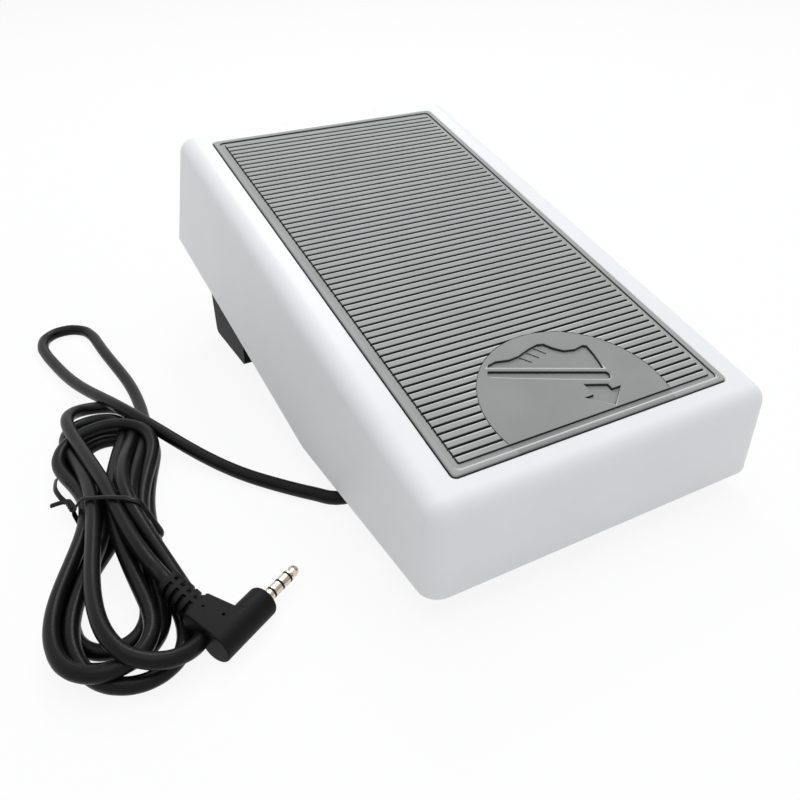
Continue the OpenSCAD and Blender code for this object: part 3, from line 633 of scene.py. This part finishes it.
def add_tie(points):
    """Flat wire around the waist of the hank, its ends twisted together on the left."""
    flat = points[:, :2] - TIE_AT
    near = (np.abs(flat @ TIE_FORWARD) < TIE_HALF_W) & (np.abs(flat @ TIE_ACROSS) < TIE_REACH)
    around = CORD_D / 2 + TIE_GAP
    spots = []
    for spot, z in zip(flat[near] @ TIE_ACROSS, points[near, 2]):
        for a in np.linspace(0, 2 * math.pi, 16, endpoint=False):
            spots.append((spot + around * math.cos(a), max(z + around * math.sin(a), TIE_FLOOR)))
    outline = np.array(hull_ring(np.array(spots)))
    bm = bmesh.new()
    rows = []
    for k, (v, z) in enumerate(outline):
        run = outline[(k + 1) % len(outline)] - outline[k - 1]
        out = np.array([run[1], -run[0]]) / (np.linalg.norm(run) + 1e-9)
        rows.append([(*(TIE_AT + TIE_ACROSS * (v + out[0] * h) + TIE_FORWARD * w), z + out[1] * h)
                     for w, h in TIE_SECTION])
    loft(bm, rows + [rows[0]], caps=False)
    upper = outline[outline[:, 1] > TWIST_ABOVE]
    left = upper[upper[:, 0].argmin()]
    start = np.array([*(TIE_AT + TIE_ACROSS * left[0]), left[1] + 0.3])
    run = np.array(TIE_TWIST_END) - start
    side = np.cross(run, (0, 0, 1)) / np.linalg.norm(run)
    for phase, tips in zip((0.0, math.pi), TIE_TIPS):
        path = []
        for t in np.linspace(0, 1, 22):
            turn = phase + TWIST_TURNS * 2 * math.pi * t
            away = math.cos(turn) * side + math.sin(turn) * np.array([0, 0, 1])
            path.append(start + run * t + TWIST_R * away)
        path = np.vstack([path, smooth_path(np.array([path[-1]] + tips), 5)[1:]])
        tube(bm, path, WIRE_R, 10, WIRE_FLAT)
    tie = to_object("tie_wire", bm, sharp=50)
    dress(tie, "cord_black", "tie_black")
    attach(tie, "base")
    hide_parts("twist_tie")
    return tie


# Plug, in its own frame: the barrel lies along X, the paddle and the bend relief along Y

FRONT_ROUND, BACK_ROUND, PADDLE_ROUND = 1.1, 0.5, 0.6
RELIEF_SWAY, RELIEF_HALF_W, RELIEF_HALF_H, RELIEF_SQUARE = 1.7, 4.1, 3.4, 0.7
SLOT_START, SLOT_STEP, SLOT_W, SLOT_FLOOR_R, SLOT_REACH = 0.5, 2.6, 1.2, 2.4, 7
DIMPLES, DIMPLE_SIDES = [(RELIEF_X + 0.2, 9.4), (RELIEF_X + 1.4, 3.6)], [(0.35, 2.9), (0.55, 6)]
# Left, right and half height of the paddle, at the barrel and at the bend relief
PADDLE_NEAR = np.array((-BARREL_L + 0.15, -BARREL_L * 0.42, BARREL_D / 2 - 0.04))
PADDLE_FAR = np.array((RELIEF_X - 4.4, RELIEF_X + 4.2, 3.4))
# Rings of the paddle with its rounded end: how far back, how far in
PADDLE_RINGS = [(PADDLE_L, 0), (0.45, 0), (0.13, 0.13), (0, 0.45)]
# Rings of the bend relief: share of its length, size
RELIEF_RINGS = [(-0.06, 1), (0.0, 1), (0.97, 1), (1.0, 0.9)]


def add_barrel():
    r = BARREL_D / 2
    arc = [math.radians(a) for a in (0, 22.5, 45, 67.5, 90)]
    front = [(-FRONT_ROUND + FRONT_ROUND * math.sin(a), r - FRONT_ROUND + FRONT_ROUND * math.cos(a))
             for a in arc]
    back = [(-BARREL_L + BACK_ROUND - BACK_ROUND * math.sin(a),
             r - BACK_ROUND + BACK_ROUND * math.cos(a)) for a in arc]
    bm = bmesh.new()
    revolve(bm, back[::-1] + front, 64)
    return to_object("plug_moulding", bm, sharp=40)


def make_paddle():
    """Flat arm of the plug that narrows away from the barrel."""
    rows = []
    for back, inset in PADDLE_RINGS:
        y = PADDLE_L - back
        x0, x1, h = PADDLE_NEAR + (PADDLE_FAR - PADDLE_NEAR) * y / PADDLE_L
        ring = round_rect(x1 - x0 - 2 * inset, 2 * (h - inset), PADDLE_ROUND, 0, 4)
        rows.append([((x0 + x1) / 2 + x, y, z) for x, z, _ in ring])
    bm = bmesh.new()
    loft(bm, rows)
    return to_object("paddle", bm)


def make_relief():
    """Bend relief with a squarish section that sways to one side."""
    rows = []
    for t, size in RELIEF_RINGS:
        wide = (RELIEF_HALF_W - 0.5 * t) * size
        tall = (RELIEF_HALF_H - 0.3 * t) * size
        x, y = RELIEF_X + RELIEF_SWAY * t, PADDLE_L + RELIEF_L * t
        ring = []
        for c, d in ((math.cos(a), math.sin(a)) for a in angles(48)):
            ring.append((x + math.copysign(wide * abs(c) ** RELIEF_SQUARE, c), y,
                         math.copysign(tall * abs(d) ** RELIEF_SQUARE, d)))
        rows.append(ring)
    bm = bmesh.new()
    loft(bm, rows)
    return to_object("relief", bm)


def make_slots():
    """Cutters for the slots on both sides of the bend relief."""
    bm = bmesh.new()
    for i in range(4):
        y = PADDLE_L + SLOT_START + i * SLOT_STEP
        x = RELIEF_X + RELIEF_SWAY * (y - PADDLE_L) / RELIEF_L
        for side in (0, 1):
            arc = [math.pi * side + math.radians(8 * b) for b in range(-10, 11)]
            outline = [(SLOT_FLOOR_R, a) for a in arc] + [(SLOT_REACH, a) for a in arc[::-1]]
            loft(bm, [[(x + q * math.cos(a), along, q * math.sin(a)) for q, a in outline]
                      for along in (y, y + SLOT_W)])
    return to_object("slots", bm)


def make_dimples():
    bm = bmesh.new()
    for x, y in DIMPLES:
        loft(bm, [[(x + q * math.cos(a), y + q * math.sin(a), z) for a in angles(16)]
                  for q, z in DIMPLE_SIDES])
    return to_object("dimples", bm)


def add_plug():
    plug = add_barrel()
    combine(plug, make_paddle(), "UNION")
    combine(plug, make_relief(), "UNION")
    combine(plug, make_slots(), "DIFFERENCE")
    combine(plug, make_dimples(), "DIFFERENCE")
    finish_cut(plug, IN_PLUG, 40)
    dress(plug, "plug_black")
    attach(plug, "base")
    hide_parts("plug_body")
    return plug


# Cover

LIP, LIP_MID, LIP_INSIDE = 0.5, 0.15, 0.4
FAR_DOWN, COVER_WELD, FLAT = 60, 0.001, 0.01
RECESS_GAP, RECESS_RIM, RECESS_R, RIM_R, RIM_DEPTH = 0.5, 1.1, 1.75, 2.0, 0.3


def lean_of(side):
    return TOE_LEAN if side > 0 else HEEL_LEAN


def slerp(a, b, t):
    """Direction between two, by the share of the angle."""
    angle = a.angle(b)
    if angle < 1e-6:
        return a.copy()
    return (a * math.sin((1 - t) * angle) + b * math.sin(t * angle)) / math.sin(angle)


def wall_at(half, lean, depth, r):
    """Middle of a rounding of radius r inside a leaning wall, at a depth."""
    return half + depth * math.tan(lean) - r / math.cos(lean)


def corner_centre(sx, sy, inset, r, depth):
    return Vector((sx * wall_at(COVER_W / 2 - inset, SIDE_LEAN, depth, r),
                   sy * wall_at(COVER_L / 2 - inset, lean_of(sy), depth, r), -depth))


def cover_columns(inset, top, r, steps=8):
    """Columns around the shell: centre of the top rounding, wall normal, way down.

    Each long side has one more column where the lower edge bends.
    """
    columns = []
    bend = IN_COVER.inverted() @ Vector((0, AXLE.y, EDGE_GAP))
    for sx, sy in ((1, 1), (-1, 1), (-1, -1), (1, -1)):
        side = Vector((sx * math.cos(SIDE_LEAN), 0, math.sin(SIDE_LEAN)))
        end = Vector((0, sy * math.cos(lean_of(sy)), math.sin(lean_of(sy))))
        first, last = (side, end) if sx * sy > 0 else (end, side)
        high = corner_centre(sx, sy, inset, r, top + r)
        low = corner_centre(sx, sy, inset, r, top + r + FAR_DOWN)
        down = (low - high).normalized()
        columns += [(high, slerp(first, last, i / steps), down) for i in range(steps + 1)]
        if sx * sy < 0:
            x = sx * wall_at(COVER_W / 2 - inset, SIDE_LEAN, top + r, r)
            down = Vector((sx * math.tan(SIDE_LEAN), 0, -1)).normalized()
            columns.append((Vector((x, bend.y, -top - r)), side, down))
    return columns


def edge_point(start, down):
    """Where a wall line meets the bent lower edge, in the tread's frame."""
    p = IN_COVER @ start
    d = IN_COVER.to_3x3() @ down
    s = (EDGE_GAP - p.z) / d.z
    if p.y + s * d.y > AXLE.y:
        rise = math.tan(EDGE_RISE)
        s = (EDGE_GAP + (p.y - AXLE.y) * rise - p.z) / (d.z - d.y * rise)
    return start + s * down


def add_cover():
    outside, inside, small = 9, 5, EDGE_R - WALL
    outer = cover_columns(0, 0, EDGE_R)
    inner = cover_columns(WALL, ROOF_DEPTH, small)
    rows = [[c + EDGE_R * slerp(UP, n, i / outside) for c, n, d in outer]
            for i in range(outside + 1)]
    feet = [edge_point(c + EDGE_R * n, d) for c, n, d in outer]
    rows.append([f - LIP * d for f, (c, n, d) in zip(feet, outer)])
    rows.append([f - LIP_MID * d - LIP_MID * n for f, (c, n, d) in zip(feet, outer)])
    rows.append([f - LIP * n for f, (c, n, d) in zip(feet, outer)])
    inner_feet = [edge_point(c + small * n, d) for c, n, d in inner]
    rows.append([f + LIP_INSIDE * n for f, (c, n, d) in zip(inner_feet, inner)])
    rows.append([f - LIP_INSIDE * d for f, (c, n, d) in zip(inner_feet, inner)])
    rows += [[c + small * slerp(UP, n, i / inside) for c, n, d in inner]
             for i in range(inside, -1, -1)]
    bm = bmesh.new()
    loft(bm, rows, caps=False)
    bmesh.ops.remove_doubles(bm, verts=bm.verts, dist=COVER_WELD)
    bmesh.ops.dissolve_degenerate(bm, edges=bm.edges, dist=COVER_WELD)
    width, length = PAD_W + RECESS_GAP, PAD_L + RECESS_GAP
    rings = loft(bm, [round_rect(PAD_W + RECESS_RIM, PAD_L + RECESS_RIM, RIM_R, 0.0),
                      round_rect(width, length, RECESS_R, -RIM_DEPTH),
                      round_rect(width, length, RECESS_R, -RECESS_D)], caps=False)
    bm.faces.new(rings[-1])
    top_edges = [e for e in bm.edges if e.is_boundary and all(abs(v.co.z) < FLAT for v in e.verts)]
    bmesh.ops.triangle_fill(bm, edges=top_edges, use_beauty=True)
    roof = [e for e in bm.edges if e.is_boundary]
    bmesh.ops.triangle_fill(bm, edges=roof, use_beauty=True)
    cover = to_object("cover_shell", bm, IN_COVER, sharp=28)
    even_normals(cover)
    dress(cover, "cover_white")
    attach(cover, "pedal")
    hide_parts("pedal_cover")
    return cover


RIB_DEPTH, RIB_T, RIB_X, RIB_IN_ROOF, RIB_END_GAP = 6.0, 1.8, 22, 0.5, 1.0
RIB_SHARES = (-0.36, -0.12, 0.06, 0.2, 0.36)
EAR_T, EAR_R, EAR_BORE, EAR_MOUTH, EAR_X, EAR_ROOT_Y = 4.0, 7.5, 2.62, 2.1, 44.1, (-30, 6)
# Spring posts: the pin inside the spring, its tip, the seat, and the foot at the roof
PIN_R, PIN_TIP_R, PIN_L, PIN_ROUND, SEAT_R, POST_R = 4.2, 3.6, 4, 0.6, 7.0, 7.3


def add_roof_ribs(bm):
    top = -ROOF_DEPTH + RIB_IN_ROOF
    half_w = COVER_W / 2 - WALL - RIB_END_GAP
    half_l = COVER_L / 2 - WALL - RIB_END_GAP
    for x in (-RIB_X, RIB_X):
        x0, x1 = x - RIB_T / 2, x + RIB_T / 2
        prism(bm, [(x0, -half_l), (x1, -half_l), (x1, half_l), (x0, half_l)], top - RIB_DEPTH, top)
    for share in RIB_SHARES:
        y0, y1 = share * COVER_L, share * COVER_L + RIB_T
        prism(bm, [(-half_w, y0), (half_w, y0), (half_w, y1), (-half_w, y1)], top - RIB_DEPTH, top)
    bm.transform(IN_COVER)


def axle_arc(r, start, sweep, steps):
    """Arc around the axle in the plane of its ears: Y, Z."""
    turns = [start + sweep * i / steps for i in range(steps + 1)]
    return [(AXLE.y + r * math.cos(a), AXLE.z + r * math.sin(a)) for a in turns]


def add_ears(bm):
    """Two ears from the roof that snap over the axle through a narrower mouth."""
    mouth = math.asin(EAR_MOUTH / EAR_R)
    mouth_in = math.asin(EAR_MOUTH / EAR_BORE)
    heel, toe = (IN_COVER @ Vector((0, y, -ROOF_DEPTH + 1)) for y in EAR_ROOT_Y)
    quarter = math.pi / 2
    outline = [(heel.y, heel.z)]
    outline += axle_arc(EAR_R, math.pi, quarter - mouth, 8)
    outline += axle_arc(EAR_BORE, -quarter - mouth_in, 2 * mouth_in - 2 * math.pi, 24)
    outline += axle_arc(EAR_R, mouth - quarter, quarter - mouth, 8)
    outline.append((toe.y, toe.z))
    for side in (-1, 1):
        loft(bm, [[(side * EAR_X + t, y, z) for y, z in outline] for t in (-EAR_T / 2, EAR_T / 2)])


def add_posts(bm):
    for places, (_, seat) in ((TOE_SPRINGS, TOE_SPRING_Z), (HEEL_SPRINGS, HEEL_SPRING_Z)):
        for x, y in places:
            along = (y - IN_COVER.translation.y) / math.cos(TILT)
            roof = IN_COVER @ Vector((0, along, -ROOF_DEPTH))
            profile = [(PIN_TIP_R, seat - PIN_L), (PIN_R, seat - PIN_L + PIN_ROUND), (PIN_R, seat),
                       (SEAT_R, seat), (POST_R, roof.z + 1)]
            loft(bm, [[(x + r * math.cos(a), y + r * math.sin(a), z) for a in angles(32)]
                      for r, z in profile])


def add_cover_inside():
    """Ribs, snap ears and spring posts under the roof."""
    bm = bmesh.new()
    add_roof_ribs(bm)
    add_ears(bm)
    add_posts(bm)
    inside = to_object("cover_ribs", bm, sharp=30)
    dress(inside, "cover_white")
    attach(inside, "pedal")
    return inside


# Tread

FIELD_W, FIELD_L = (side - 2 * (PAD_BORDER + CHANNEL_W) for side in (PAD_W, PAD_L))
CHANNEL_R, FIELD_R = 1.4, 0.5
# Grooves run past the bars into the channel, and stop just off the disc
GROOVE_PAST, DISC_NEAR, DISC_CLEAR = 0.3, 0.2, 0.02
# The line around the disc goes on past its middle towards the heel
DISC_LINE_DEPTH, DISC_HEEL = 0.3, 6.4
SIGN_DEPTH, LACE_DEPTH, LACE_HALF_W, LACE_ABOVE = 1.0, 1.3, 0.42, 0.5
CUT_ABOVE, MITRE_LIMIT = 0.4, 0.4


def disc_edge(y):
    """Half width of the smooth disc at a place along the tread."""
    return math.sqrt(max(DISC_R ** 2 - (y - DISC_Y) ** 2, 0))


def add_rib_cutters(bm, top):
    """Grooves with softened shoulders that leave the bars standing; they end on the disc."""
    spans = round((FIELD_L + GROOVE_W) / RIB_PITCH)
    w = GROOVE_W / 2
    half = [(w + 0.5, top + CUT_ABOVE), (w + 0.45, top + 0.005), (w + 0.1, top - 0.09),
            (w, top - 0.24), (w - 0.05, top - GROOVE_D)]
    profile = half + [(-o, z) for o, z in half[::-1]]
    reach = FIELD_W / 2 + GROOVE_PAST
    for i in range(1, spans):
        y = (i / spans - 0.5) * (FIELD_L + GROOVE_W)
        if abs(y - DISC_Y) < DISC_R + DISC_NEAR:
            for side in (-1, 1):
                loft(bm, [[(side * (disc_edge(y + o) + DISC_CLEAR), y + o, z) for o, z in profile],
                          [(side * reach, y + o, z) for o, z in profile]])
        else:
            loft(bm, [[(-reach, y + o, z) for o, z in profile],
                      [(reach, y + o, z) for o, z in profile]])


def add_channel_cutter(bm, top):
    """Channel between the border and the bars, with softened edges."""
    low = top - CHANNEL_D
    outer = [(0.7, top + CUT_ABOVE), (0.64, top + 0.005), (0.12, top - 0.13), (0.0, top - 0.3),
             (-0.1, low)]
    inner = [(0.1, low), (0.0, top - 0.16), (-0.12, top + 0.01), (-0.2, top + CUT_ABOVE)]
    width, length = PAD_W - 2 * PAD_BORDER, PAD_L - 2 * PAD_BORDER
    rows = [round_rect(width + 2 * o, length + 2 * o, CHANNEL_R + o, z) for o, z in outer]
    rows += [round_rect(FIELD_W + 2 * o, FIELD_L + 2 * o, FIELD_R + o, z) for o, z in inner]
    loft(bm, rows + [rows[0]], caps=False)


SOLE_MID, SOLE_TURN = (-1.4, -66.0), math.atan2(-13.3, 32.9)
SHOE_UPPER = [(-17.6, 1.3), (-17.2, 2.4), (-14.8, 4.0), (-10.5, 4.8), (-7.4, 6.4), (-3.6, 9.6),
              (-0.6, 11.6), (1.6, 11.9), (4.0, 10.2), (7.2, 9.0), (10.8, 9.6), (13.6, 11.4),
              (14.9, 11.2), (16.2, 7.2), (17.0, 3.4), (17.2, 1.3)]
SHOE_SOLE = [(-17.8, -0.2), (17.6, -0.2), (18.4, -1.0), (18.2, -2.9), (17.2, -3.4), (5.0, -3.3),
             (-8.0, -3.0), (-17.0, -2.6), (-18.2, -1.6)]
LACES = [((-7.0, 6.2), (-3.6, 4.4)), ((-4.4, 8.4), (-1.0, 6.4)), ((-1.8, 10.4), (1.6, 8.2))]
ARROW = [(5.2, -74.6), (12.0, -77.2), (12.0, -79.2), (15.2, -79.2), (8.6, -84.9), (2.0, -79.2),
         (5.2, -79.2)]


def sign_outlines():
    """Own plain sign: a walking shoe and an arrow to the heel edge."""
    c, s = math.cos(SOLE_TURN), math.sin(SOLE_TURN)

    def place(points):
        return [(SOLE_MID[0] + c * u - s * v, SOLE_MID[1] + s * u + c * v) for u, v in points]

    laces = []
    for (x0, y0), (x1, y1) in LACES:
        run = Vector((x1 - x0, y1 - y0)).normalized()
        side = Vector((-run.y, run.x)) * LACE_HALF_W
        laces.append(place([(x0 - side.x, y0 - side.y), (x1 - side.x, y1 - side.y),
                            (x1 + side.x, y1 + side.y), (x0 + side.x, y0 + side.y)]))
    return [place(SHOE_UPPER), place(SHOE_SOLE), ARROW], laces


def grow(outline, amount):
    """Outline moved outward along its own corners."""
    points = [Vector(p) for p in outline]
    turn = sum(a.x * b.y - a.y * b.x for a, b in zip(points, points[1:] + points[:1]))
    sign = 1 if turn > 0 else -1
    out = []
    for a, b, c in zip(points[-1:] + points[:-1], points, points[1:] + points[:1]):
        u, v = (b - a).normalized(), (c - b).normalized()
        n = Vector((u.y + v.y, -u.x - v.x)) * sign
        n.normalize()
        share = max(n.dot(Vector((u.y, -u.x)) * sign), MITRE_LIMIT)
        out.append(tuple(b + n * amount / share))
    return out


def add_pocket(bm, outline, top, depth):
    """Sunk area with a softened rim."""
    levels = ((-0.06, top - depth), (0.0, top - 0.24), (0.1, top - 0.11), (0.58, top + 0.005),
              (0.62, top + CUT_ABOVE))
    loft(bm, [[(x, y, z) for x, y in grow(outline, o)] for o, z in levels])


def add_disc_line(bm, top):
    """Fine line around the disc."""
    reach = math.asin(DISC_HEEL / DISC_R)
    section = [(DISC_R - 0.15, top + DISC_LINE_DEPTH), (DISC_R + 0.15, top + DISC_LINE_DEPTH),
               (DISC_R + 0.08, top - DISC_LINE_DEPTH), (DISC_R - 0.08, top - DISC_LINE_DEPTH)]
    turns = [-reach + (math.pi + 2 * reach) * i / 96 for i in range(97)]
    loft(bm, [[(r * math.cos(a), DISC_Y + r * math.sin(a), z) for r, z in section] for a in turns])


def add_sign_areas(bm, top):
    for outline in sign_outlines()[0]:
        add_pocket(bm, outline, top, SIGN_DEPTH)


def add_sign_laces(bm, top):
    for outline in sign_outlines()[1]:
        prism(bm, outline, top - LACE_DEPTH, top + LACE_ABOVE)


TREAD_CUTS = [("grooves", add_rib_cutters), ("channel", add_channel_cutter),
              ("disc_line", add_disc_line), ("sign_areas", add_sign_areas),
              ("sign_laces", add_sign_laces)]
# Sides of the pad from below: how far in, corner radius, height above its underside or top
PAD_LOWER = [(0.6, 1.2, 0.0), (0.0, 1.5, 0.3)]
PAD_UPPER = [(0.0, 1.5, -0.45), (0.3, 1.4, -0.22), (0.7, 1.3, -0.06), (1.3, 1.1, 0.0)]


def add_tread():
    top = PAD_PROUD
    levels = [(less, r, top - PAD_T + z) for less, r, z in PAD_LOWER]
    levels += [(less, r, top + z) for less, r, z in PAD_UPPER]
    bm = bmesh.new()
    loft(bm, [round_rect(PAD_W - less, PAD_L - less, r, z) for less, r, z in levels])
    tread = to_object("tread_ribbed", bm)
    for name, add_cutters in TREAD_CUTS:
        bm = bmesh.new()
        add_cutters(bm, top)
        combine(tread, to_object(name, bm), "DIFFERENCE")
    finish_cut(tread, IN_COVER, 30)
    dress(tread, "tread_grey")
    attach(tread, "pedal")
    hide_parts("tread_pad")
    return tread


# Springs

COIL_STEPS = 24


def coil_path(x, y, z0, z1, r, wire, turns):
    """Closed and ground ends: the first and last turn lie flat."""
    path = []
    for i in range(turns * COIL_STEPS + 1):
        turn = i / COIL_STEPS
        t = min(max((turn - 1) / (turns - 2), 0), 1)
        low = z0 + wire / 2 + wire * min(turn, 1)
        high = z1 - wire / 2 - wire * min(turns - turn, 1)
        z = low if turn <= 1 else high if turn >= turns - 1 else (
            z0 + 1.5 * wire + t * (z1 - z0 - 3 * wire))
        a = 2 * math.pi * turn
        path.append((x + r * math.cos(a), y + r * math.sin(a), z))
    return path


def add_springs(name, node, places, z0, z1, diameter, wire, turns, moving):
    """Compression springs between the base and a moving body, coiled at rest."""
    bm = bmesh.new()
    for x, y in places:
        tube(bm, coil_path(x, y, z0, z1, (diameter - wire) / 2, wire, turns), wire / 2, 10)
    spring = to_object(name, bm, sharp=60)
    dress(spring, "steel")
    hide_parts(node)
    x, y = 0.0, places[0][1]
    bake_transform(spring)
    return spring


# Studio: the floor in millimetres, the lamps in metres and watts

FLOOR_HALF, FLOOR_DROP, FLOOR_GREY, FLOOR_WHITE = 3000, 0.1, 0.9, 0.9
WORLD_COLOUR, WORLD_LIGHT = (0.98, 0.99, 1, 1), 0.49
# Place, power, size, colour
LAMPS = {"top_panel": ((0.06, -0.06, 1.25), 8.0, 1.5, (0.94, 0.97, 1)),
         "key_lamp": ((0.405, 0.783, 1.02), 4.3, 0.4, (1, 1, 1))}


def white_when_seen(tree, lit, strength):
    """Mixes white light in for rays that show the background."""
    path = tree.nodes.new("ShaderNodeLightPath")
    seen = path.outputs["Is Camera Ray"]
    for other in ("Is Glossy Ray", "Is Transmission Ray"):
        both = tree.nodes.new("ShaderNodeMath")
        both.operation = "MAXIMUM"
        tree.links.new(seen, both.inputs[0])
        tree.links.new(path.outputs[other], both.inputs[1])
        seen = both.outputs[0]
    scaled = tree.nodes.new("ShaderNodeMath")
    scaled.operation = "MULTIPLY"
    scaled.inputs[1].default_value = strength
    tree.links.new(seen, scaled.inputs[0])
    mix = tree.nodes.new("ShaderNodeMixShader")
    tree.links.new(scaled.outputs[0], mix.inputs["Fac"])
    tree.links.new(lit, mix.inputs[1])
    return mix


def add_floor():
    bm = bmesh.new()
    bmesh.ops.create_grid(bm, x_segments=4, y_segments=4, size=FLOOR_HALF)
    floor = to_object("floor", bm, Matrix.Translation((0, 0, -FLOOR_DROP)))
    material, tree, bsdf = new_material("floor_white")
    bsdf.inputs["Base Color"].default_value = (FLOOR_GREY, FLOOR_GREY, FLOOR_GREY, 1)
    bsdf.inputs["Roughness"].default_value = 1.0
    bsdf.inputs["Specular IOR Level"].default_value = 0.0
    glow = tree.nodes.new("ShaderNodeEmission")
    mix = white_when_seen(tree, bsdf.outputs[0], FLOOR_WHITE)
    tree.links.new(glow.outputs[0], mix.inputs[2])
    tree.links.new(mix.outputs[0], tree.nodes["Material Output"].inputs["Surface"])
    floor.data.materials.append(material)


def add_world():
    world = bpy.data.worlds.new("studio")
    bpy.context.scene.world = world
    world.use_nodes = True
    tree = world.node_tree
    dim = tree.nodes["Background"]
    dim.inputs["Color"].default_value = WORLD_COLOUR
    dim.inputs["Strength"].default_value = WORLD_LIGHT
    bright = tree.nodes.new("ShaderNodeBackground")
    bright.inputs["Color"].default_value = (1, 1, 1, 1)
    bright.inputs["Strength"].default_value = 1.0
    mix = white_when_seen(tree, dim.outputs[0], 1.0)
    tree.links.new(bright.outputs[0], mix.inputs[2])
    tree.links.new(mix.outputs[0], tree.nodes["World Output"].inputs["Surface"])


def add_lamp(name, place, power, size, colour):
    data = bpy.data.lights.new(name, "AREA")
    data.shape = "DISK"
    data.size = size
    data.energy = power
    data.color = colour
    lamp = bpy.data.objects.new(name, data)
    bpy.context.collection.objects.link(lamp)
    lamp.location = place
    lamp.rotation_euler = (-Vector(place)).to_track_quat("-Z", "Y").to_euler()


def dress_nodes():
    """Gives each solid of the frame the material of its slot."""
    slots = {row["node"]: row["material_slot"] for row in frame["record"]["subparts"]}
    for name, obj in frame["nodes"].items():
        dress(obj, slots[name])


bpy.context.scene.view_settings.view_transform = "Standard"
add_camera()
dress_nodes()
route = cord_points()
cord = add_cord(route)
tie = add_tie(route)
plug = add_plug()
add_cover()
add_cover_inside()
add_tread()
add_springs("toe_coils", "toe_springs", TOE_SPRINGS, *TOE_SPRING_Z, SPRING_D, SPRING_WIRE, 8,
            "pedal")
add_springs("heel_coils", "heel_springs", HEEL_SPRINGS, *HEEL_SPRING_Z, SPRING_D, SPRING_WIRE, 6,
            "pedal")
add_springs("sensor_coil", "sensor_spring", SENSOR_SPRING, *SENSOR_SPRING_Z, SENSOR_SPRING_D,
            SENSOR_WIRE, 5, "plunger")
add_floor()
add_world()
for lamp_name, look in LAMPS.items():
    add_lamp(lamp_name, *look)
